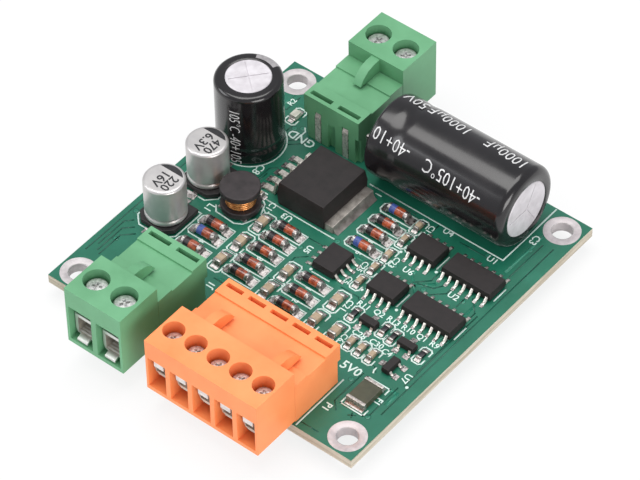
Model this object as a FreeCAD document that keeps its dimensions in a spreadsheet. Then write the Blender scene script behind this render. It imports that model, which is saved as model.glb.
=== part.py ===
import FreeCAD, Part
import math
import os
import re
import Sketcher

os.makedirs("parts", exist_ok=True)
doc = FreeCAD.newDocument("motor_driver")

# Sizes in millimetres. Heights named _low, _top or _z count from the top face of the board.
BOARD = {
    "board_w": 55.0,
    "board_d": 55.0,
    "board_t": 1.6,
    "hole_span": 48.8,
    "hole_d": 3.2,
    "tail_len": 1.5,
    "motor_x": -11.7,
    "motor_y": -27.3,
    "signal_x": 7.35,
    "signal_y": -26.8,
    "power_x": -11.6,
    "power_y": 26.9,
    "run_gap": 0.05,
}

# Pluggable terminal blocks, one family per pitch. The header's front face is the plane y = 0.
GREEN = {
    "poles": 2,
    "pitch": 5.08,
    "head_top": 8.4,
    "head_deep": 10.3,
    "lip": 2.95,
    "recess": 4.3,
    "recess_deep": 0.35,
    "notch_top": 4.8,
    "wall": 0.8,
    "cav_low": 1.0,
    "cav_top": 7.4,
    "cav_deep": 8.0,
    "keyway_w": 3.85,
    "keyway_t": 0.75,
    "keyway_deep": 2.0,
    "keyway_in": 1.05,
    "notch_w": 1.3,
    "notch_deep": 0.6,
    "pin_sq": 1.0,
    "pin_z": 5.35,
    "block_deep": 7.85,
    "block_top": 11.1,
    "block_low": 0.4,
    "bore_d": 3.9,
    "bore_in": 3.93,
    "win_w": 4.16,
    "win_low": 1.1,
    "win_top": 7.65,
    "seat_top": 8.6,
    "nose_deep": 6.5,
    "bar_w": 2.6,
    "bar_low": 4.1,
    "bar_t": 0.7,
    "bar_in": 1.7,
    "cage_w": 3.76,
    "cage_deep": 5.7,
    "cage_in": 1.05,
    "cage_low": 1.65,
    "cage_tall": 4.0,
    "cage_wall": 0.5,
    "cage_roof": 0.6,
    "tongue_w": 1.85,
    "tongue_len": 0.9,
    "screw_d": 3.3,
    "screw_tall": 1.15,
    "slot_w": 0.55,
    "slot_deep": 0.6,
    "shank_d": 2.5,
    "shank_low": 4.95,
    "fin_w": 1.5,
    "fin_len": 4.4,
    "fin_drop": 0.3,
    "fin_off": 0.0,
}
ORANGE = {
    "poles": 5,
    "pitch": 3.96,
    "head_top": 7.3,
    "head_deep": 9.75,
    "lip": 2.7,
    "recess": 4.0,
    "recess_deep": 0.35,
    "notch_top": 4.2,
    "wall": 0.8,
    "cav_low": 0.9,
    "cav_top": 6.4,
    "cav_deep": 7.5,
    "keyway_w": 2.9,
    "keyway_t": 0.7,
    "keyway_deep": 1.8,
    "keyway_in": 1.05,
    "notch_w": 1.1,
    "notch_deep": 0.6,
    "pin_sq": 0.9,
    "pin_z": 4.85,
    "block_deep": 8.05,
    "block_top": 10.0,
    "block_low": 0.3,
    "bore_d": 3.2,
    "bore_in": 3.93,
    "win_w": 3.15,
    "win_low": 1.0,
    "win_top": 6.7,
    "seat_top": 7.2,
    "nose_deep": 6.3,
    "bar_w": 1.74,
    "bar_low": 3.6,
    "bar_t": 0.7,
    "bar_in": 1.7,
    "cage_w": 2.75,
    "cage_deep": 5.7,
    "cage_in": 1.05,
    "cage_low": 3.05,
    "cage_tall": 3.45,
    "cage_wall": 0.4,
    "cage_roof": 0.5,
    "tongue_w": 1.3,
    "tongue_len": 0.9,
    "screw_d": 2.6,
    "screw_tall": 1.0,
    "slot_w": 0.45,
    "slot_deep": 0.5,
    "shank_d": 2.0,
    "shank_low": 4.45,
    "fin_w": 1.5,
    "fin_len": 4.6,
    "fin_drop": 0.3,
    "fin_off": 5.3,
}

# Electrolytic capacitors, inductor and regulator.
LARGE = {
    "bulk_d": 13.0,
    "bulk_len": 24.5,
    "bulk_x": -3.0,
    "bulk_y": 19.6,
    "bulk_face_d": 9.0,
    "bulk_crimp": 3.7,
    "bulk_lead_span": 5.0,
    "bulk_lead_out": 2.0,
    "bung_t": 0.4,
    "input_d": 10.2,
    "input_tall": 13.3,
    "input_x": -22.0,
    "input_y": 10.7,
    "input_face_d": 6.9,
    "crimp_deep": 0.4,
    "crimp_half": 0.6,
    "edge_cut": 0.5,
    "score_w": 0.35,
    "score_deep": 0.15,
    "cap_lead_d": 0.7,
    "can_d": 6.3,
    "can_top": 8.0,
    "can_base": 6.6,
    "can_base_cut": 1.3,
    "can_base_low": 0.2,
    "can_base_top": 1.0,
    "can_x": -21.7,
    "can_ay": -8.55,
    "can_skew": 0.25,
    "can_by": 0.85,
    "coil_d": 6.0,
    "coil_top": 4.5,
    "coil_x": -14.6,
    "coil_y": -0.4,
    "coil_flange": 1.0,
    "coil_waist_d": 3.0,
    "coil_wire_d": 4.5,
    "coil_low": 0.3,
    "reg_w": 8.7,
    "reg_d": 10.1,
    "reg_top": 4.4,
    "reg_x": -6.55,
    "reg_y": 8.3,
    "reg_pitch": 1.7,
    "reg_lead_w": 0.95,
    "reg_lead_z": 2.5,
    "reg_lead_t": 0.45,
    "reg_reach": 14.5,
    "reg_tab_t": 1.3,
    "reg_tab_w": 9.4,
    "reg_tab_end": 0.9,
}

# Small surface-mount parts.
SMALL = {
    "so_w": 3.9,
    "so_low": 0.15,
    "so_mid": 0.8,
    "so_top": 1.6,
    "so_len_eight": 4.9,
    "so_len_fourteen": 8.65,
    "so_pitch": 1.27,
    "so_lead_w": 0.42,
    "so_lead_t": 0.22,
    "so_reach": 3.0,
    "so_foot": 0.65,
    "sot_len": 2.9,
    "sot_w": 1.3,
    "sot_top": 1.05,
    "sot_reach": 1.2,
    "sot_lead_w": 0.42,
    "sot_pitch": 1.9,
    "melf_len": 3.5,
    "melf_d": 1.45,
    "melf_cap": 0.6,
    "big_l": 2.0,
    "big_w": 1.25,
    "big_t": 1.0,
    "big_end": 0.4,
    "mid_l": 1.6,
    "mid_w": 0.85,
    "mid_t": 0.8,
    "mid_end": 0.3,
    "res_t": 0.5,
    "fuse_l": 4.5,
    "fuse_w": 3.2,
    "fuse_t": 1.1,
    "fuse_end": 0.5,
    "fuse_x": 21.8,
    "fuse_y": -17.3,
    "led_x": -20.0,
    "led_y": 18.6,
    "fet_x": 7.0,
    "fet_y": 7.5,
    "fet_l": 6.1,
    "fet_w": 6.6,
    "fet_t": 2.3,
    "fet_tab_w": 5.3,
    "fet_tab_out": 1.2,
    "fet_lead_out": 2.9,
    "fet_lead_w": 0.8,
    "fet_pitch": 2.3,
    "fet_metal_t": 0.5,
}

# Centres on the board: integrated circuits by lead count and turn, then the rows of small parts.
CIRCUITS = [(12.2, 8.9, 4, 0), (12.2, -0.25, 4, 0), (20.35, 8.9, 7, 0), (20.4, -0.3, 7, 0), (2.95, -1.0, 4, 1)]
TRANSISTORS = [(14.0, -6.7, 0), (20.8, -6.75, 0), (21.4, -11.1, 1)]
DIODES = [(-14.8, y) for y in (-5.7, -7.9, -10.9)]
DIODES += [(-6.0, y) for y in (-0.1, -2.7, -5.4, -8.25, -10.85)]
DIODES += [(3.0, y) for y in (-5.6, -8.5, -11.5)]
DIODES += [(4.2, y) for y in (12.35, 9.6, 7.0, 4.15)]
BIG_CHIPS = [(-10.0, -1.1), (-10.0, -5.9), (-10.0, -10.3), (-1.1, -6.2), (-1.1, -10.55)]
BIG_CHIPS += [(7.8, -6.1), (7.7, -10.7), (11.3, -10.8)]
MID_CHIPS = [(8.0, y) for y in (12.2, 8.9, 5.2, 2.0, -1.3)]
MID_CHIPS += [(14.2, -10.9), (16.1, -11.0), (18.05, -11.1)]
LYING_CHIP = (-14.1, 3.0)
RESISTORS = [(11.2, -6.5), (16.4, -6.2), (18.2, -6.5), (23.35, -6.7)]

SIZES = {}
for group, prefix in ((BOARD, ""), (GREEN, "green_"), (ORANGE, "orange_"), (LARGE, ""), (SMALL, "")):
    for key, value in group.items():
        SIZES[prefix + key] = value

sheet = doc.addObject("Spreadsheet::Sheet", "dims")
for row, (key, value) in enumerate(SIZES.items(), start=1):
    sheet.set("A%d" % row, key)
    sheet.set("B%d" % row, str(value))
    sheet.setAlias("B%d" % row, key)
doc.recompute()

WORD = re.compile(r"[a-z][a-z_]*")
nodes = []


def ex(text, fam=""):
    """Spreadsheet expression from plain words; '@' stands for the family prefix."""
    text = str(text).replace("@", fam)
    return WORD.sub(lambda hit: "dims." + hit.group(0) if hit.group(0) in SIZES else hit.group(0), text)


def bind(obj, path, text, fam=""):
    obj.setExpression(path, ex(text, fam))


def new_body(label, spot=None, turned=False):
    body = doc.addObject("PartDesign::Body", label)
    body.Label = label
    body.Placement = FreeCAD.Placement()
    if turned:
        body.Placement = FreeCAD.Placement(FreeCAD.Vector(0, 0, 0), FreeCAD.Rotation(FreeCAD.Vector(0, 0, 1), 180))
    if spot:
        bind(body, "Placement.Base.x", spot + "_x")
        bind(body, "Placement.Base.y", spot + "_y")
    bind(body, "Placement.Base.z", "board_t")
    nodes.append(body)
    return body


def role(body, name):
    for feature in body.Origin.OriginFeatures:
        if feature.Role == name:
            return feature
    raise RuntimeError("no origin feature " + name)


def box(body, name, size, centre, low, fam="", cut=False):
    """Box given by its size, the centre of its plan and the height of its underside."""
    kind = "PartDesign::SubtractiveBox" if cut else "PartDesign::AdditiveBox"
    solid = body.newObject(kind, name)
    bind(solid, "Length", size[0], fam)
    bind(solid, "Width", size[1], fam)
    bind(solid, "Height", size[2], fam)
    bind(solid, "Placement.Base.x", "(%s) - (%s) / 2" % (centre[0], size[0]), fam)
    bind(solid, "Placement.Base.y", "(%s) - (%s) / 2" % (centre[1], size[1]), fam)
    bind(solid, "Placement.Base.z", low, fam)
    body.Tip = solid
    doc.recompute()
    return solid


def rod(body, name, width, length, at, fam="", cut=False, axis="z"):
    """Round bar or bore given by its diameter, length and the centre of its first end."""
    kind = "PartDesign::SubtractiveCylinder" if cut else "PartDesign::AdditiveCylinder"
    solid = body.newObject(kind, name)
    if axis == "x":
        solid.Placement = FreeCAD.Placement(FreeCAD.Vector(0, 0, 0), FreeCAD.Rotation(FreeCAD.Vector(0, 1, 0), 90))
    bind(solid, "Radius", "(%s) / 2" % width, fam)
    bind(solid, "Height", length, fam)
    bind(solid, "Placement.Base.x", at[0], fam)
    bind(solid, "Placement.Base.y", at[1], fam)
    bind(solid, "Placement.Base.z", at[2], fam)
    body.Tip = solid
    doc.recompute()
    return solid


def outline(body, name, plane, loops, offset="0", fam=""):
    """Sketch of closed straight-sided loops whose corners are held by expressions."""
    sketch = body.newObject("Sketcher::SketchObject", name)
    sketch.AttachmentSupport = [(role(body, plane), "")]
    sketch.MapMode = "FlatFace"
    bind(sketch, "AttachmentOffset.Base.z", offset, fam)
    for loop in loops:
        first = sketch.GeometryCount
        words = [(ex(a, fam), ex(b, fam)) for a, b in loop]
        spots = [(float(sketch.evalExpression(a)), float(sketch.evalExpression(b))) for a, b in words]
        count = len(spots)
        for i in range(count):
            start = FreeCAD.Vector(spots[i][0], spots[i][1], 0)
            end = FreeCAD.Vector(spots[(i + 1) % count][0], spots[(i + 1) % count][1], 0)
            sketch.addGeometry(Part.LineSegment(start, end), False)
        for i in range(count):
            near = first + i
            far = first + (i + 1) % count
            sketch.addConstraint(Sketcher.Constraint("Coincident", near, 2, far, 1))
        for i in range(count):
            for kind, part in (("DistanceX", 0), ("DistanceY", 1)):
                mark = "%s_%d" % ("u" if part == 0 else "v", first + i)
                rule = sketch.addConstraint(Sketcher.Constraint(kind, first + i, 1, spots[i][part]))
                sketch.renameConstraint(rule, mark)
                sketch.setExpression("Constraints." + mark, words[i][part])
    doc.recompute()
    return sketch


def pad(body, name, sketch, length, fam="", middle=True, down=False, taper=0.0):
    solid = body.newObject("PartDesign::Pad", name)
    solid.Profile = sketch
    bind(solid, "Length", length, fam)
    solid.Midplane = middle
    solid.Reversed = down
    solid.TaperAngle = taper
    body.Tip = solid
    doc.recompute()
    return solid


def pocket(body, name, sketch, length, fam="", middle=True):
    solid = body.newObject("PartDesign::Pocket", name)
    solid.Profile = sketch
    bind(solid, "Length", length, fam)
    solid.Midplane = middle
    body.Tip = solid
    doc.recompute()
    return solid


def row(body, name, features, axis, count, step, fam=""):
    """Repeats features along an axis at a fixed step."""
    copies = body.newObject("PartDesign::LinearPattern", name)
    copies.Originals = features
    copies.Direction = (role(body, axis), [""])
    copies.Mode = "Spacing"
    bind(copies, "Occurrences", count, fam)
    bind(copies, "Offset", step, fam)
    body.Tip = copies
    doc.recompute()
    return copies


def turn(body, name, points, axis="Z_Axis", plane="XZ_Plane", fam=""):
    sketch = outline(body, name + "_shape", plane, [points], "0", fam)
    solid = body.newObject("PartDesign::Revolution", name)
    solid.Profile = sketch
    solid.ReferenceAxis = (role(body, axis), [""])
    solid.Angle = 360
    body.Tip = solid
    doc.recompute()
    return solid


def rect(cx, cy, dx, dy):
    """Corners of a rectangle about a centre, as expressions."""
    left = "%s - (%s) / 2" % (cx, dx)
    right = "%s + (%s) / 2" % (cx, dx)
    front = "%s - (%s) / 2" % (cy, dy)
    back = "%s + (%s) / 2" % (cy, dy)
    return [(left, front), (right, front), (right, back), (left, back)]


def many_sided(cx, cy, radius, count):
    """Corners of an even polygon about a centre, standing on one of its flats."""
    points = []
    for k in range(count):
        angle = math.pi * (2 * k + 1) / count
        across = "%s + %s * %.5f" % (cx, radius, math.cos(angle))
        along = "%s + %s * %.5f" % (cy, radius, math.sin(angle))
        points.append((across, along))
    return points


FIRST = "(-(@poles - 1) * @pitch / 2)"
WIDE = "(@poles * @pitch)"


def header_housing(label, fam, spot, turned):
    body = new_body(label, spot, turned)
    side = [
        ("0", "0"),
        ("@head_deep", "0"),
        ("@head_deep", "@head_top"),
        ("@lip + @recess", "@head_top"),
        ("@lip + @recess", "@head_top - @recess_deep"),
        ("@lip", "@head_top - @recess_deep"),
        ("@lip", "@head_top"),
        ("0", "@head_top"),
    ]
    pad(body, "block", outline(body, "side", "YZ_Plane", [side], "0", fam), WIDE, fam)
    hollow = (WIDE + " - 2 * @wall", "@cav_deep", "@cav_top - @cav_low")
    box(body, "hollow", hollow, ("0", "@cav_deep / 2"), "@cav_low", fam, cut=True)
    keyway = ("@keyway_w", "@keyway_t", "@keyway_deep")
    keyway_at = (FIRST, "@head_deep - @keyway_in")
    first = box(body, "keyway", keyway, keyway_at, "@head_top - @keyway_deep", fam, cut=True)
    channel = ("@pin_sq + 0.2", "@pin_sq + 0.2", "@pin_z + @pin_sq / 2 + run_gap")
    second = box(body, "channel", channel, (FIRST, "@head_deep - @pin_sq / 2"), "0", fam, cut=True)
    entry = ("@pin_sq", "@head_deep - @cav_deep", "@pin_sq")
    entry_at = (FIRST, "(@head_deep + @cav_deep) / 2")
    third = box(body, "entry", entry, entry_at, "@pin_z - @pin_sq / 2", fam, cut=True)
    row(body, "poles", [first, second, third], "X_Axis", "@poles", "@pitch", fam)
    notch = ("@notch_w", "2 * @notch_deep", "@notch_top")
    cut = box(body, "notch", notch, (FIRST + " - @pitch / 2", "@head_deep"), "0", fam, cut=True)
    row(body, "notches", [cut], "X_Axis", "@poles + 1", "@pitch", fam)
    return body


def header_pins(label, fam, spot, turned):
    body = new_body(label, spot, turned)
    pin = [
        ("2", "@pin_z - @pin_sq / 2"),
        ("@head_deep - @pin_sq", "@pin_z - @pin_sq / 2"),
        ("@head_deep - @pin_sq", "-board_t - tail_len"),
        ("@head_deep", "-board_t - tail_len"),
        ("@head_deep", "@pin_z - @pin_sq * 0.3"),
        ("@head_deep - @pin_sq * 0.25", "@pin_z + @pin_sq * 0.2"),
        ("@head_deep - @pin_sq * 0.8", "@pin_z + @pin_sq / 2"),
        ("2", "@pin_z + @pin_sq / 2"),
    ]
    first = pad(body, "pin", outline(body, "bend", "YZ_Plane", [pin], FIRST, fam), "@pin_sq", fam)
    row(body, "pins", [first], "X_Axis", "@poles", "@pitch", fam)
    return body


def plug_housing(label, fam, spot, turned):
    body = new_body(label, spot, turned)
    block = (WIDE, "@block_deep - run_gap", "@block_top - @block_low")
    box(body, "block", block, ("0", "-(@block_deep + run_gap) / 2"), "@block_low", fam)
    nose_w = WIDE + " - 2 * @wall - 0.3"
    nose = (nose_w, "@nose_deep + run_gap", "@cav_top - @cav_low - 0.3")
    box(body, "nose", nose, ("0", "(@nose_deep - run_gap) / 2"), "@cav_low + 0.15", fam)
    top = "@block_top - @fin_drop"
    under = "@head_top + 0.1"
    fin = [
        ("-0.2", under),
        ("@fin_len - 0.05", under),
        ("@fin_len", under + " + 0.1"),
        ("@fin_len * 0.84", "(%s) * 0.5 + (%s) * 0.5" % (top, under)),
        ("@fin_len * 0.6", "(%s) * 0.84 + (%s) * 0.16" % (top, under)),
        ("@fin_len * 0.3", top),
        ("-0.2", top),
    ]
    if SIZES[fam + "poles"] > 2:
        left = pad(body, "fin", outline(body, "fin_side", "YZ_Plane", [fin], "-@fin_off", fam), "@fin_w", fam)
        row(body, "fins", [left], "X_Axis", "2", "(@poles - 2) * @pitch", fam)
    else:
        pad(body, "fin", outline(body, "fin_side", "YZ_Plane", [fin], "0", fam), "@fin_w", fam)
    bore_y = "-@block_deep + @bore_in"
    bore = rod(body, "bore", "@bore_d", "@block_top - @seat_top", (FIRST, bore_y, "@seat_top"), fam, cut=True)
    eye = many_sided(FIRST, "(%s)" % bore_y, "((@shank_d / 2 + run_gap) * 1.0824)", 8)
    eye_sketch = outline(body, "shank_eye", "XY_Plane", [eye], "(@seat_top + @win_top) / 2", fam)
    hole = pocket(body, "shank_hole", eye_sketch, "@seat_top - @win_top + 0.2", fam)
    chamber_deep = "@cage_in + @cage_deep + 0.25"
    chamber = ("@win_w", chamber_deep, "@win_top - @win_low")
    chamber_at = (FIRST, "-@block_deep + (%s) / 2" % chamber_deep)
    window = box(body, "chamber", chamber, chamber_at, "@win_low", fam, cut=True)
    passage_deep = "@block_deep + @nose_deep - (%s)" % chamber_deep
    passage = ("@bar_w", passage_deep, "@pin_z + @pin_sq / 2 + 0.2 - @bar_low")
    passage_at = (FIRST, "@nose_deep - (%s) / 2" % passage_deep)
    way = box(body, "passage", passage, passage_at, "@bar_low", fam, cut=True)
    row(body, "poles", [bore, hole, window, way], "X_Axis", "@poles", "@pitch", fam)
    return body


def plug_contacts(label, fam, spot, turned):
    body = new_body(label, spot, turned)
    start = "(-@block_deep + @bar_in)"
    bar = ("@bar_w", "5.5 - " + start, "@bar_t")
    first = box(body, "bar", bar, (FIRST, "(5.5 + %s) / 2" % start), "@bar_low", fam)
    leaf = ("0.3", "4", "@pin_z + @pin_sq / 2 - @bar_low - @bar_t + 0.1")
    gap = "(@pin_sq / 2 + run_gap + 0.15)"
    low = "@bar_low + @bar_t"
    second = box(body, "leaf_a", leaf, (FIRST + " - " + gap, "3.5"), low, fam)
    third = box(body, "leaf_b", leaf, (FIRST + " + " + gap, "3.5"), low, fam)
    row(body, "poles", [first, second, third], "X_Axis", "@poles", "@pitch", fam)
    return body


def screw(label, fam, spot, turned, number):
    body = new_body(label, spot, turned)
    x = "((%d - (@poles - 1) / 2) * @pitch)" % number
    y = "-@block_deep + @bore_in"
    under = "@seat_top + run_gap"
    disc = many_sided(x, "(%s)" % y, "(@screw_d / 2)", 16)
    pad(body, "head", outline(body, "head_section", "XY_Plane", [disc], under, fam), "@screw_tall", fam, middle=False)
    section = many_sided(x, "(%s)" % y, "(@shank_d / 2)", 8)
    shank = outline(body, "shank_section", "XY_Plane", [section], "@shank_low", fam)
    pad(body, "shank", shank, under + " - @shank_low", fam, middle=False)
    floor = "@seat_top + run_gap + @screw_tall - @slot_deep"
    box(body, "slot_a", ("@screw_d * 0.72", "@slot_w", "@slot_deep"), (x, y), floor, fam, cut=True)
    box(body, "slot_b", ("@slot_w", "@screw_d * 0.72", "@slot_deep"), (x, y), floor, fam, cut=True)
    return body


def cage(label, fam, spot, turned, number):
    body = new_body(label, spot, turned)
    x = "((%d - (@poles - 1) / 2) * @pitch)" % number
    half = "@cage_w / 2"
    top = "@cage_low + @cage_tall"
    outer = [
        (x + " - " + half, top),
        (x + " - " + half, "@cage_low + 1"),
        (x + " - " + half + " + 0.3", "@cage_low + 0.3"),
        (x + " - " + half + " + 1", "@cage_low"),
        (x + " + " + half + " - 1", "@cage_low"),
        (x + " + " + half + " - 0.3", "@cage_low + 0.3"),
        (x + " + " + half, "@cage_low + 1"),
        (x + " + " + half, top),
    ]
    inner_w = "@cage_w - 2 * @cage_wall"
    inner_z = "(@cage_low + 0.5 + %s - @cage_roof) / 2" % top
    inner = rect(x, inner_z, inner_w, "@cage_tall - 0.5 - @cage_roof")
    middle = "@block_deep - @cage_in - @cage_deep / 2"
    loop = outline(body, "loop", "XZ_Plane", [outer, inner], middle, fam)
    pad(body, "band", loop, "@cage_deep", fam)
    y = "-@block_deep + @bore_in"
    eye = many_sided(x, "(%s)" % y, "((@shank_d / 2 + run_gap) * 1.0824)", 8)
    thread = outline(body, "thread_eye", "XY_Plane", [eye], top + " - @cage_roof / 2", fam)
    pocket(body, "thread_hole", thread, "@cage_roof + 0.2", fam)
    front = "-@block_deep + @cage_in"
    tongue = [
        (front + " + 0.1", "@cage_low"),
        (front + " + 0.1", "@cage_low + 0.5"),
        (front, "@cage_low + 0.5"),
        (front + " - @tongue_len", "@cage_low + 0.1"),
        (front + " - @tongue_len", "@cage_low - 0.25"),
        (front, "@cage_low"),
    ]
    pad(body, "tongue", outline(body, "tongue_side", "YZ_Plane", [tongue], x, fam), "@tongue_w", fam)
    return body


def connector(spot, fam, turned):
    header_housing(spot + "_header_housing", fam, spot, turned)
    header_pins(spot + "_header_pins", fam, spot, turned)
    plug_housing(spot + "_plug_housing", fam, spot, turned)
    plug_contacts(spot + "_plug_contacts", fam, spot, turned)
    for number in range(SIZES[fam + "poles"]):
        screw("%s_screw_%d" % (spot, number + 1), fam, spot, turned, number)
        cage("%s_cage_%d" % (spot, number + 1), fam, spot, turned, number)


def circuit_board():
    body = new_body("circuit_board")
    box(body, "plate", ("board_w", "board_d", "board_t"), ("0", "0"), "-board_t")
    corner = rod(body, "hole", "hole_d", "board_t + 0.2", ("-hole_span / 2", "-hole_span / 2", "-board_t - 0.1"), cut=True)
    side = row(body, "front_pair", [corner], "X_Axis", "2", "hole_span")
    for index, sign_x in ((0, "-"), (1, "")):
        at = (sign_x + "hole_span / 2", "hole_span / 2", "-board_t - 0.1")
        rod(body, "rear_hole_%d" % index, "hole_d", "board_t + 0.2", at, cut=True)
    for spot, fam, way in (("motor", "green_", 1), ("signal", "orange_", 1), ("power", "green_", -1)):
        x = "%s_x - %d * (@poles - 1) * @pitch / 2" % (spot, way)
        y = "%s_y + %d * (@head_deep - @pin_sq / 2)" % (spot, way)
        first = box(body, spot + "_slot", ("@pin_sq", "@pin_sq", "board_t"), (x, y), "-board_t", fam, cut=True)
        step = "@pitch"
        if way > 0:
            row(body, spot + "_slots", [first], "X_Axis", "@poles", step, fam)
        else:
            far = "%s_x - (@poles - 1) * @pitch / 2" % spot
            box(body, spot + "_slot_b", ("@pin_sq", "@pin_sq", "board_t"), (far, y), "-board_t", fam, cut=True)
    return body


def can_shape(who, crimp):
    """Half section of a crimped can; the first number of a corner runs along the axis."""
    r = "%s_d / 2" % who
    long = "%s_%s" % (who, "len" if who == "bulk" else "tall")
    points = [("0", "0"), ("0", r)]
    if crimp:
        points.append((crimp + " - crimp_half", r))
        points.append((crimp, r + " - crimp_deep"))
        points.append((crimp + " + crimp_half", r))
    points.append((long + " - edge_cut", r))
    points.append((long, r + " - edge_cut * 1.4"))
    points.append((long, "0"))
    return points


def capacitors():
    can = new_body("bulk_capacitor_can")
    bind(can, "Placement.Base.x", "bulk_x")
    bind(can, "Placement.Base.y", "bulk_y")
    bind(can, "Placement.Base.z", "board_t + bulk_d / 2")
    turn(can, "drum", can_shape("bulk", "bulk_crimp"), "X_Axis", "XY_Plane")
    score = ("score_deep", "score_w", "bulk_face_d * 0.8")
    at = ("bulk_len - score_deep / 2", "0")
    box(can, "score_up", score, at, "-bulk_face_d * 0.4", cut=True)
    score = ("score_deep", "bulk_face_d * 0.8", "score_w")
    box(can, "score_level", score, at, "-score_w / 2", cut=True)
    can = new_body("input_capacitor_can", "input")
    shape = [(b, a) for a, b in can_shape("input", "")]
    turn(can, "drum", shape)
    floor = "input_tall - score_deep"
    box(can, "score_across", ("input_face_d * 0.8", "score_w", "score_deep"), ("0", "0"), floor, cut=True)
    box(can, "score_along", ("score_w", "input_face_d * 0.8", "score_deep"), ("0", "0"), floor, cut=True)
    bung = new_body("bulk_capacitor_bung")
    face = many_sided("bulk_y", "bulk_d / 2", "(bulk_face_d / 2)", 20)
    pad(bung, "plug", outline(bung, "face", "YZ_Plane", [face], "bulk_x - bung_t / 2"), "bung_t")
    leads = new_body("capacitor_leads")
    for index, sign in enumerate(("-", "+")):
        y = "bulk_y %s bulk_lead_span / 2" % sign
        out = "bulk_x - bulk_lead_out"
        wire = "cap_lead_d"
        at = ("%s - %s / 2 + (bulk_lead_out - bung_t + %s) / 2" % (out, wire, wire), y)
        run = ("bulk_lead_out - bung_t + " + wire, wire, wire)
        box(leads, "bulk_run_%d" % index, run, at, "bulk_d / 2 - %s / 2" % wire)
        drop = (wire, wire, "bulk_d / 2")
        box(leads, "bulk_drop_%d" % index, drop, (out, y), "0")


def smd_capacitors():
    cans = new_body("smd_capacitor_cans")
    bases = new_body("smd_capacitor_bases")
    ends = new_body("smd_capacitor_terminals")
    r = "can_d / 2"
    shape = [
        ("0", "can_base_top"),
        (r, "can_base_top"),
        (r, "can_top - 0.3"),
        (r + " - 0.3", "can_top"),
        ("0", "can_top"),
    ]
    turn(cans, "can", shape)
    bind(cans, "Placement.Base.x", "can_x")
    bind(cans, "Placement.Base.y", "can_ay")
    row(cans, "pair", [cans.Tip], "Y_Axis", "2", "can_by - can_ay")
    h = "can_base / 2"
    for index, (x, y) in enumerate((("can_x", "can_ay"), ("(can_x + can_skew)", "can_by"))):
        plan = [
            ("%s - %s" % (x, h), "%s - %s + can_base_cut" % (y, h)),
            ("%s - %s + can_base_cut" % (x, h), "%s - %s" % (y, h)),
            ("%s + %s - can_base_cut" % (x, h), "%s - %s" % (y, h)),
            ("%s + %s" % (x, h), "%s - %s + can_base_cut" % (y, h)),
            ("%s + %s" % (x, h), "%s + %s" % (y, h)),
            ("%s - %s" % (x, h), "%s + %s" % (y, h)),
        ]
        sketch = outline(bases, "plan_%d" % index, "XY_Plane", [plan], "can_base_low")
        pad(bases, "plate_%d" % index, sketch, "can_base_top - can_base_low", middle=False)
        for side, sign in enumerate(("-", "+")):
            at = (x, "%s %s (can_base / 2 - 0.9)" % (y, sign))
            box(ends, "strip_%d_%d" % (index, side), ("0.8", "2.6", "can_base_low"), at, "0")


def inductor():
    core = new_body("inductor_core", "coil")
    r = "coil_d / 2"
    neck = "coil_waist_d / 2"
    low = "coil_low + coil_flange"
    high = "coil_top - coil_flange"
    shape = [
        ("0", "coil_low"),
        (r, "coil_low"),
        (r, low),
        (neck, low),
        (neck, high),
        (r, high),
        (r, "coil_top"),
        ("0", "coil_top"),
    ]
    turn(core, "spool", shape)
    winding = new_body("inductor_winding", "coil")
    rod(winding, "coil", "coil_wire_d", "coil_top - coil_low - 2 * coil_flange", ("0", "0", low))
    long = "coil_top - coil_low - 2 * coil_flange"
    rod(winding, "middle", "coil_waist_d + 0.04", long, ("0", "0", low), cut=True)
    ends = new_body("inductor_terminals", "coil")
    first = box(ends, "pad", ("1.3", "4.4", "coil_low"), ("-1.9", "0"), "0")
    row(ends, "pads", [first], "X_Axis", "2", "3.8")


def gull(foot_x, root_x, thick, level, sign):
    """Side view of a bent lead from its toe to its root, as expressions."""
    s = "%s * " % sign
    return [
        (s + "(%s)" % foot_x, "0"),
        (s + "(%s - 0.62)" % foot_x, "0"),
        (s + "(%s)" % root_x, "%s - %s / 2" % (level, thick)),
        (s + "(%s)" % root_x, "%s + %s" % (level, thick)),
        (s + "(%s - 0.45)" % foot_x, thick),
        (s + "(%s)" % foot_x, thick),
    ]


def shifted(loop, along):
    return [("(%s) + %s" % (a, along), b) for a, b in loop]


def regulator():
    body = new_body("regulator_body", "reg")
    mid = "reg_lead_z"
    plan = rect("0", "0", "reg_w", "reg_d")
    sketch = outline(body, "plan", "XY_Plane", [plan], mid)
    pad(body, "upper", sketch, "reg_top - reg_lead_z", middle=False, taper=-8.0)
    pad(body, "lower", sketch, "reg_lead_z - 0.05", middle=False, down=True, taper=-3.0)
    side = [("reg_w / 2 - 1", "0"), ("reg_w / 2 + 1", "0"), ("reg_w / 2 + 1", "reg_tab_t"), ("reg_w / 2 - 1", "reg_tab_t")]
    pocket(body, "tab_seat", outline(body, "seat", "XZ_Plane", [side], "0"), "reg_tab_w")
    tab = new_body("regulator_tab", "reg")
    out = "(reg_tab_end - reg_x)"
    size = (out + " - reg_w / 2 + 1", "reg_tab_w", "reg_tab_t")
    box(tab, "plate", size, ("(%s + reg_w / 2 - 1) / 2" % out, "0"), "0")
    leads = new_body("regulator_leads", "reg")
    reach = "(reg_x + reg_reach)"
    t = "reg_lead_t"
    loop = [
        ("-" + reach, "0"),
        ("-%s + 2.2" % reach, "0"),
        ("-%s + 2.7" % reach, "reg_lead_z - reg_lead_t / 2"),
        ("-reg_w / 2", "reg_lead_z - reg_lead_t / 2"),
        ("-reg_w / 2", "reg_lead_z + reg_lead_t / 2"),
        ("-%s + 2.4" % reach, "reg_lead_z + reg_lead_t / 2"),
        ("-%s + 1.85" % reach, t),
        ("-" + reach, t),
    ]
    sketch = outline(leads, "bend", "XZ_Plane", [loop], "2 * reg_pitch")
    first = pad(leads, "lead", sketch, "reg_lead_w")
    row(leads, "leads", [first], "Y_Axis", "5", "reg_pitch")


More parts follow.
